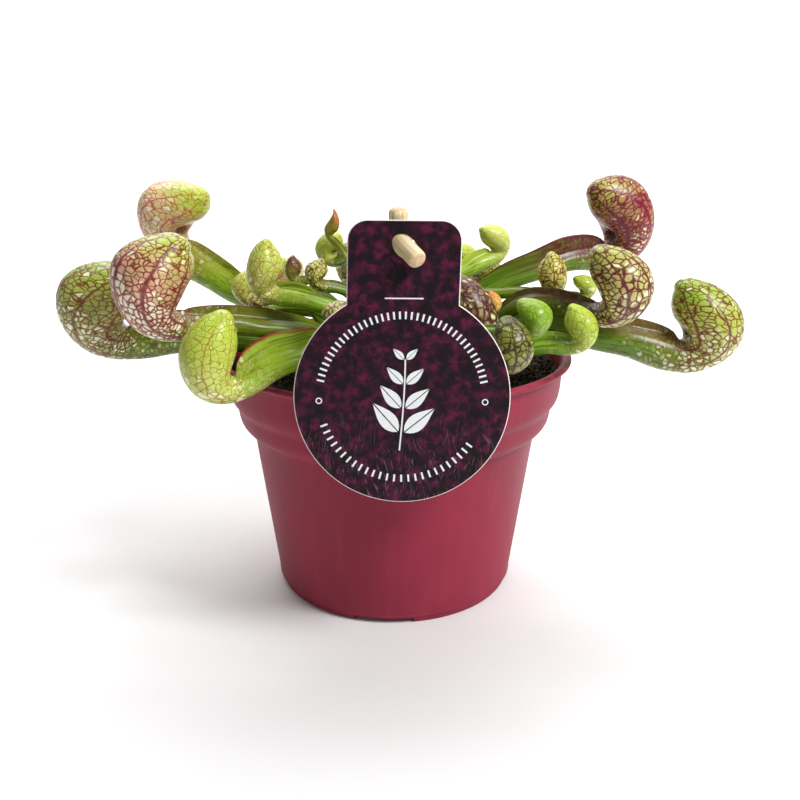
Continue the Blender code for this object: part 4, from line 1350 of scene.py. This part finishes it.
def leaf_half():
    """Half of a plain pointed leaf that lies along +Y, to the right of its midrib."""
    steps = np.linspace(0, 1, LEAF_STEPS)
    width = [LEAF_WIDTH / 2 * math.sin(math.pi * t**LEAF_BELLY) * (1 - LEAF_TAPER * t) for t in steps]
    edge = [(LEAF_RIB + x, LEAF_LENGTH * t) for x, t in zip(width, steps)]
    return edge + [(LEAF_RIB, y) for _, y in reversed(edge[1:-1])]


def leaf_pair():
    """Two split leaves, one leaning to each side of the stem."""
    right = leaf_half()
    left = [(-x, y) for x, y in reversed(right)]
    outlines = []
    for side in (-1, 1):
        for half in (right, left):
            leant = [turned_point(point, -LEAF_LEAN * side) for point in half]
            outlines.append([(x + side * LEAF_GAP, y) for x, y in leant])
    return filled("pair", outlines, PRINT_THICKNESS)


def rectangle(half_width, half_height, middle_y=0.0):
    """The outline of a rectangle centred on the Y axis."""
    low, high = middle_y - half_height, middle_y + half_height
    return [(-half_width, low), (half_width, low), (half_width, high), (-half_width, high)]


def build_tag(sizes):
    """The card with its printed front, cut where the peg passes through it."""
    ground, card = printed_ground(sizes), bare_card(sizes)
    made = filled("plant_tag", [tag_outline()], TAG_THICKNESS)
    chamfer_front(made)
    made.matrix_world = tag_matrix()
    peg_space = stick("space", PEG_RADIUS + FIT, PEG_LENGTH, NEAT_HOLE_FACETS)
    peg_space.matrix_world = peg_matrix()
    made = take_away(made, [peg_space])
    remember_place(made, "card_place", tag_matrix(), MM)
    front = tag_matrix().to_3x3() @ Vector((0, 0, 1))
    lay_on(made, card, ground)
    for face in made.data.polygons:
        face.material_index = int(face.normal.dot(front) > FACING)
    smooth(made, angle=30.0)
    declare(made, "tag", "tag")
    build_tag_marks(mark_ink(sizes))


def build_tag_marks(ink):
    """Plain marks: a broken ring of ticks, a rule, two small rings and a sprig of leaves."""
    tree = marks_tree()
    centre_x, centre_y = TAG_DISC_CENTRE
    tick = filled("tick", [rectangle(TICK_HALF_LENGTH, TICK_HALF_WIDTH)], PRINT_THICKNESS)
    pair = leaf_pair()

    def set_along(path, name, **values):
        drawn = mesh_object("path", [(*point, 0.0) for point in path], edges=chain(path))
        return tree.apply(drawn, name, surface=ink, **values)

    marks = []
    for index, (first, last, count) in enumerate(RING_SPANS):
        path = arc(TAG_DISC_CENTRE, RING_RADIUS, math.radians(first), math.radians(last), RING_STEPS)
        marks.append(set_along(path, f"ring_{index}", mark=tick, count=count, shrink=0.0))
    foot_x, foot_y = centre_x + STEM_FOOT[0], centre_y + STEM_FOOT[1]
    stem = [
        (foot_x + STEM_BOW * math.sin(STEM_SWING * t), foot_y + STEM_LENGTH * t)
        for t in np.linspace(0, 1, STEM_STEPS)
    ]
    leafy = stem[BARE_STEM_STEPS:]
    marks.append(set_along(leafy, "sprig", mark=pair, count=LEAF_PAIRS, shrink=LEAF_SHRINK))
    sides = [(x - STEM_WIDTH / 2, y) for x, y in stem] + [(x + STEM_WIDTH / 2, y) for x, y in reversed(stem)]
    rule = rectangle(RULE_HALF_LENGTH, RULE_HALF_WIDTH, RULE_HEIGHT)
    marks.append(filled("stem_and_rule", [sides, rule], PRINT_THICKNESS))
    for side in (-1, 1):
        middle = (centre_x + side * RING_RADIUS, centre_y - SPOT_DROP)
        spot = [arc(middle, radius, 0.0, 2 * math.pi, SPOT_STEPS)[:-1] for radius in SPOT_RADII]
        marks.append(filled("spot", spot, PRINT_THICKNESS))
    joined = join("tag_marks", marks)
    for mark in (tick, pair):
        bpy.data.objects.remove(mark, do_unlink=True)
    raised = Matrix.Translation((0.0, 0.0, (PRINT_THICKNESS + PRINT_GAP) * MM))
    set_down(joined, tag_matrix() @ raised)
    lay_on(joined, ink)
    declare(joined, "tag")


def join(name, pieces):
    """One mesh object from several that lie in their final places."""
    shape = bmesh.new()
    for piece in pieces:
        shape.from_mesh(piece.data)
        bpy.data.objects.remove(piece, do_unlink=True)
    return new_object(name, shape_to_mesh(shape, bpy.data.meshes.new(name)))


# ---------------------------------------------------------------------------------------------------
# Pitchers
# ---------------------------------------------------------------------------------------------------


def unit(vector):
    """The vector at length one."""
    return vector / np.linalg.norm(vector)


def turned_point(point, degrees):
    """A point of a plane, turned about its origin."""
    c, s = math.cos(math.radians(degrees)), math.sin(math.radians(degrees))
    return np.array((point[0] * c - point[1] * s, point[0] * s + point[1] * c))


def pitcher_axes(turn):
    """Out along the tube, towards its upper side, and across."""
    heading, climb, roll = map(math.radians, turn)
    out = np.array(
        (math.cos(heading) * math.cos(climb), math.sin(heading) * math.cos(climb), math.sin(climb))
    )
    level_up = np.array(
        (-math.cos(heading) * math.sin(climb), -math.sin(heading) * math.sin(climb), math.cos(climb))
    )
    upper = level_up * math.cos(roll) + np.cross(out, level_up) * math.sin(roll)
    return out, upper, np.cross(out, upper)


def hood_side(row):
    """The hood's outer and inner walls in the side view, shaped for one pitcher."""
    outer, inner = HOOD_RINGS[:, 0:2].copy(), HOOD_RINGS[:, 2:4].copy()
    bend = np.clip((np.linspace(0, 1, len(outer) + 1) - BEND_STARTS) / (1 - BEND_STARTS), 0, 1)
    bend = bend * bend * (3 - 2 * bend)
    past_neck = np.arange(len(outer)) >= NECK_FIRST_RING
    inner[:, 0] += row.neck * np.exp(-(((inner[:, 1] - NECK_AT) / NECK_SPREAD) ** 2)) * past_neck
    outer = inner + (outer - inner) * (1 + (row.deep - 1) * bend[:-1])[:, None]
    for wall in (outer, inner):
        wall[:, 1] = np.where(wall[:, 1] > 0, wall[:, 1] * row.tall, wall[:, 1])
        for index in range(len(wall)):
            wall[index] = turned_point(wall[index], row.curl * bend[index])
    return outer, inner


def tube_rings(row, out, upper, joint):
    """The drawn rings of the tube, on a curve from the crown to the hood's first ring."""
    size = row.size
    crown, radii = crown_facts()
    heading, climb = map(math.radians, row.root)
    level = np.array((math.cos(heading), math.sin(heading)))
    normal = np.array((*(level * math.cos(climb)), math.sin(climb)))
    root_upper = np.array((*(-level * math.sin(climb)), math.cos(climb)))
    way = unit(normal / radii)
    start = crown + radii * normal + way * ROOT_GAP
    first, second = np.array(row.handle, float), joint - out * np.linalg.norm(joint - start) * row.pull
    root_radius = STOUT_ROOT if size > STOUT_FROM else SLIM_ROOT
    rings = []
    for t in np.linspace(0, 1, TUBE_KEYS, endpoint=False):
        s = 1 - t
        centre = s**3 * start + 3 * s * s * t * first + 3 * s * t * t * second + t**3 * joint
        line = unit(s * s * (first - start) + 2 * s * t * (second - first) + t * t * (joint - second))
        line = line if t else way
        side = root_upper * s + upper * t
        side = unit(side - line * (side @ line))
        deep = root_radius + (TUBE_HALF_DEPTH * size * row.tube - root_radius) * t**TUBE_GROWTH
        wide = root_radius + (TUBE_HALF_WIDTH * size - root_radius) * t**TUBE_GROWTH
        height = max(0.0, (t - WING_START) / (1 - WING_START))
        wing = row.wing * size * math.sin(height * math.pi / 2) ** WING_GROWTH
        rings.append((centre, side * deep, np.cross(line, side) * wide, side * wing, t))
    return rings


def drawn_rings(row):
    """Each drawn ring as (centre, deep, wide, wing, along): along goes 0 to 1 on the tube, 1 to 2 on
    the hood."""
    out, upper, across = pitcher_axes(row.turn)
    notch, size = np.array(row.at, float), row.size
    rings = tube_rings(row, out, upper, notch + (out * JOINT[0] + upper * JOINT[1]) * size)
    outer, inner = hood_side(row)
    for index in range(len(outer)):
        blend = 1 + (row.tube - 1) * max(0.0, 1 - index / TUBE_BLEND)
        middle, half = (outer[index] + inner[index]) / 2, (inner[index] - outer[index]) / 2 * blend
        width = HOOD_RINGS[index, 4] * row.wide * size * blend
        wing = row.wing * size * (WING_FADE[index] if index < len(WING_FADE) else 0.0)
        rings.append((
            notch + (out * middle[0] + upper * middle[1]) * size,
            (out * half[0] + upper * half[1]) * size,
            across * width, upper * wing, 1 + index / (len(outer) - 1),
        ))
    return rings


def flowing(rings, per_gap):
    """Smooth curves through the drawn rings, per_gap rings to each gap."""
    keys = np.array([np.concatenate((*vectors, [along])) for *vectors, along in rings])
    gaps = np.linalg.norm(np.diff(keys[:, :3], axis=0), axis=1)
    gaps += 0.5 * np.linalg.norm(np.diff(keys[:, 3:6], axis=0), axis=1)
    at = np.concatenate(([0.0], np.cumsum(gaps)))
    slopes = np.gradient(keys, at, axis=0)
    out = []
    for i, step in enumerate(np.diff(at)):
        for t in np.linspace(0, 1, per_gap, endpoint=False):
            ends = (2 * t**3 - 3 * t * t + 1) * keys[i] + (3 * t * t - 2 * t**3) * keys[i + 1]
            lean = (t**3 - 2 * t * t + t) * slopes[i] + (t**3 - t * t) * slopes[i + 1]
            out.append(ends + step * lean)
    out.append(keys[-1])
    return np.array(out)


def rounded_beak(flow, size):
    """Adds shrinking rings that close the beak in a dome."""
    last = flow[-1]
    ahead = unit(last[:3] - flow[-4, :3])
    rings = []
    start = math.radians(BEAK_START)
    for turn in np.linspace(start, math.pi / 2, BEAK_STEPS)[1:-1]:
        ring = last.copy()
        ring[:3] += ahead * size * BEAK_SIZE * (math.sin(turn) - math.sin(start))
        ring[3:9] *= math.cos(turn) / math.cos(start)
        rings.append(ring)
    return np.vstack((flow, rings)), last[:3] + ahead * size * BEAK_SIZE * (1 - math.sin(start))


def blade(angle):
    """The wing's cross-section: a thin blade on a spreading foot."""
    thin, foot = (np.exp(-((angle / width) ** 2)) for width in (BLADE_WIDTH, BLADE_FOOT_WIDTH))
    return BLADE_HEIGHT * thin + (1 - BLADE_HEIGHT) * foot


def pitcher_mesh(row, name, per_gap):
    """One pitcher as a closed mesh, with the places and zones that its skin reads."""
    flow, tip = rounded_beak(flowing(drawn_rings(row), per_gap), row.size)
    sides = np.radians([0.0, *SIDE_ANGLES, 180.0, *(-a for a in reversed(SIDE_ANGLES))])
    count, around_it = len(flow), len(sides)
    centre, deep, wide, wing = (flow[:, i:i + 3][:, None, :] for i in (0, 3, 6, 9))
    along = flow[:, 12][:, None] * np.ones(around_it)
    angle = np.ones((count, 1)) * sides
    phase = sum(row.at)  # makes each pitcher uneven in its own way

    # The surface: slightly uneven round, with the wing's blade on top and the mouth pressed in.
    lobes = np.sin(LOBES * angle + phase + LOBE_TWIST * along) * np.clip(along - LOBES_FROM, 0, 1)
    ribs = np.cos(RIBS * angle) * np.clip((along - RIBS_FROM) / RIBS_FADE, 0, 1)
    uneven = 1 + LOBE_HEIGHT * lobes + RIB_HEIGHT * ribs
    mouth = np.exp(-(((along - MOUTH_AT) / MOUTH_SPREAD) ** 2) - (angle / MOUTH_WIDE) ** 2)
    across = (deep * np.cos(angle)[..., None] + wide * np.sin(angle)[..., None]) * uneven[..., None]
    inwards = -deep / np.linalg.norm(deep, axis=2, keepdims=True)
    ripple = 1 + RIPPLE_HEIGHT * np.sin(RIPPLE_PACE * along + phase)
    points = centre + across + wing * (blade(angle) * ripple)[..., None]
    points += inwards * (mouth * MOUTH_DEEP * row.size)[..., None]

    # The skin's own places: round it by the tube's width, and down it by the length of the outer wall.
    step = np.concatenate(([0.0], np.linalg.norm(np.diff(flow[:, :3], axis=0), axis=1)))
    stretch = 1 + (TUBE_STRETCH - 1) * np.clip((STRETCH_END - flow[:, 12]) / STRETCH_FADE, 0, 1)
    down = np.cumsum(WALL_LENGTH * step / stretch)[:, None] * np.ones(around_it)
    width, height = np.linalg.norm(wide, axis=2), np.linalg.norm(wing, axis=2)
    lift = width * np.cos(angle) + height * blade(angle)
    skin = np.stack((lift, width * np.sin(angle), down), axis=2) + phase
    on_wing = blade(angle) * np.clip(height / FULL_WING, 0, 1)
    zone = np.stack((along, on_wing, np.abs(angle) / math.pi), axis=2)
    # How strongly the mouth's dent takes its painted shade.
    open_mouth = np.repeat(mouth[..., None] ** MOUTH_EASE, 3, axis=2)

    faces = [tuple(reversed(range(around_it)))]
    for ring in range(count - 1):
        faces += ring_faces(ring, around_it)
    last = (count - 1) * around_it
    faces += [(last + k, last + (k + 1) % around_it, count * around_it) for k in range(around_it)]
    made = mesh_object(name, np.vstack((points.reshape(-1, 3), tip)), faces)
    for label, values in (("skin_place", skin), ("zone", zone), ("open_mouth", open_mouth)):
        values = values.reshape(-1, 3)
        store(made, label, np.vstack((values, values[-1])))
    return made


def build_pitchers(sizes):
    """Every pitcher, each in its own colouring."""
    skins = {}
    for row in PITCHERS:
        made = pitcher_mesh(row, row.name + "_pitcher", sizes.rings)
        made.data.shade_smooth()
        if row.look not in skins:
            skins[row.look] = pitcher_skin("skin_" + row.look, look_of(row.look), sizes)
        lay_on(made, skins[row.look])
        node = "pitcher_" + row.name
        declare(made, slot_of(node), node)


def slot_of(node):
    """The node's slot in the part's record."""
    return next(part["material_slot"] for part in frame["record"]["subparts"] if part["node"] == node)


# ---------------------------------------------------------------------------------------------------
# Stage
# ---------------------------------------------------------------------------------------------------


def build_stage(sizes):
    """A floor that curves up into a backdrop, soft lights and the camera."""
    bend = arc((BACKDROP_Y - BACKDROP_RADIUS, BACKDROP_RADIUS), BACKDROP_RADIUS,
               -math.pi / 2, 0.0, BACKDROP_STEPS)
    profile = [(-FLOOR_HALF, 0.0), *bend, (BACKDROP_Y, BACKDROP_TOP)]
    points = [(x / MM, y / MM, z / MM) for y, z in profile for x in (-FLOOR_HALF, FLOOR_HALF)]
    faces = [(2 * i, 2 * i + 1, 2 * i + 3, 2 * i + 2) for i in range(len(profile) - 1)]
    floor = mesh_object("studio_floor", points, faces)
    floor.data.shade_smooth()
    lay_on(floor, stage_surface(sizes.floor))
    scene = bpy.context.scene
    scene.world = bpy.data.worlds.new("studio")
    scene.world.use_nodes = True
    sky = scene.world.node_tree.nodes["Background"].inputs
    sky["Color"].default_value = (1.0, 1.0, 1.0, 1.0)
    sky["Strength"].default_value = SKY_STRENGTH
    for row in LIGHTS:
        light(*row)
    scene.view_settings.view_transform = "Standard"
    camera = bpy.data.cameras.new("camera")
    camera.lens = sizes.lens
    camera.sensor_width = SENSOR_WIDTH
    camera.shift_x = SIDE_SHIFT
    camera.clip_start = NEAREST_SEEN
    scene.camera = new_object("camera", camera)
    scene.camera.location = (0.0, -sizes.distance, sizes.height)
    scene.camera.rotation_euler = (math.radians(90 - sizes.tilt), 0.0, 0.0)


def light(name, place, size, power, target):
    """A square soft light that looks at the target."""
    lamp = bpy.data.lights.new(name, "AREA")
    lamp.size = size
    lamp.energy = power
    made = new_object(name, lamp)
    made.location = place
    aim = Vector(target) - Vector(place)
    made.rotation_euler = aim.to_track_quat("-Z", "Y").to_euler()


# ---------------------------------------------------------------------------------------------------
# Operators, panel and running
# ---------------------------------------------------------------------------------------------------


class PLANT_OT_stage(bpy.types.Operator):
    """Sets up the floor, the lights and the camera"""

    bl_idname = "plant.stage"
    bl_label = "Build Stage"

    def execute(self, context):
        build_stage(context.scene.plant_stage)
        return {"FINISHED"}


class PLANT_OT_pot(bpy.types.Operator):
    """Builds the plastic pot with its lip, feet and drain holes"""

    bl_idname = "plant.pot"
    bl_label = "Build Pot"

    def execute(self, context):
        build_pot(context.scene.plant_pot)
        return {"FINISHED"}


class PLANT_OT_peat(bpy.types.Operator):
    """Builds the block of peat, with grains and fibres on top"""

    bl_idname = "plant.peat"
    bl_label = "Build Peat"

    def execute(self, context):
        build_peat(context.scene.plant_peat)
        return {"FINISHED"}


class PLANT_OT_crown(bpy.types.Operator):
    """Builds the rhizome that carries the pitchers"""

    bl_idname = "plant.crown"
    bl_label = "Build Crown"

    def execute(self, context):
        build_crown()
        return {"FINISHED"}


class PLANT_OT_wood(bpy.types.Operator):
    """Builds the stake and the peg that hold the tag"""

    bl_idname = "plant.wood"
    bl_label = "Build Stake and Peg"

    def execute(self, context):
        build_wood(context.scene.plant_wood)
        return {"FINISHED"}


class PLANT_OT_tag(bpy.types.Operator):
    """Builds the card tag and its plain printed marks"""

    bl_idname = "plant.tag"
    bl_label = "Build Tag"

    def execute(self, context):
        build_tag(context.scene.plant_tag)
        return {"FINISHED"}


class PLANT_OT_pitchers(bpy.types.Operator):
    """Builds every pitcher from its row in the table"""

    bl_idname = "plant.pitchers"
    bl_label = "Build Pitchers"

    def execute(self, context):
        build_pitchers(context.scene.plant_pitchers)
        return {"FINISHED"}


OPERATORS = (
    PLANT_OT_stage, PLANT_OT_pot, PLANT_OT_peat, PLANT_OT_crown, PLANT_OT_wood, PLANT_OT_tag,
    PLANT_OT_pitchers,
)


class PLANT_PT_build(bpy.types.Panel):
    """Lists the plant's pieces, with the sizes and colours of each"""

    bl_idname = "PLANT_PT_build"
    bl_label = "Pitcher Plant"
    bl_space_type = "VIEW_3D"
    bl_region_type = "UI"
    bl_category = "Plant"

    def draw(self, context):
        """Shows each group of settings in a box, then a button for each step."""
        for name, settings in SETTINGS.items():
            box = self.layout.box()
            for label in settings.__annotations__:
                box.prop(getattr(context.scene, name), label)
        for operator in OPERATORS:
            self.layout.operator(operator.bl_idname)


CLASSES = (*SETTINGS.values(), *OPERATORS, PLANT_PT_build)


def register():
    """Adds the classes, and the settings to the scene."""
    for kind in CLASSES:
        bpy.utils.register_class(kind)
    for name, settings in SETTINGS.items():
        setattr(bpy.types.Scene, name, PointerProperty(type=settings))


def unregister():
    """Takes the settings and the classes away again."""
    for name in SETTINGS:
        delattr(bpy.types.Scene, name)
    for kind in reversed(CLASSES):
        bpy.utils.unregister_class(kind)


def main():
    """Builds everything in order."""
    register()
    bpy.ops.plant.stage()
    bpy.ops.plant.pot()
    bpy.ops.plant.peat()
    bpy.ops.plant.crown()
    bpy.ops.plant.wood()
    bpy.ops.plant.tag()
    bpy.ops.plant.pitchers()


if __name__ == "__main__":
    main()
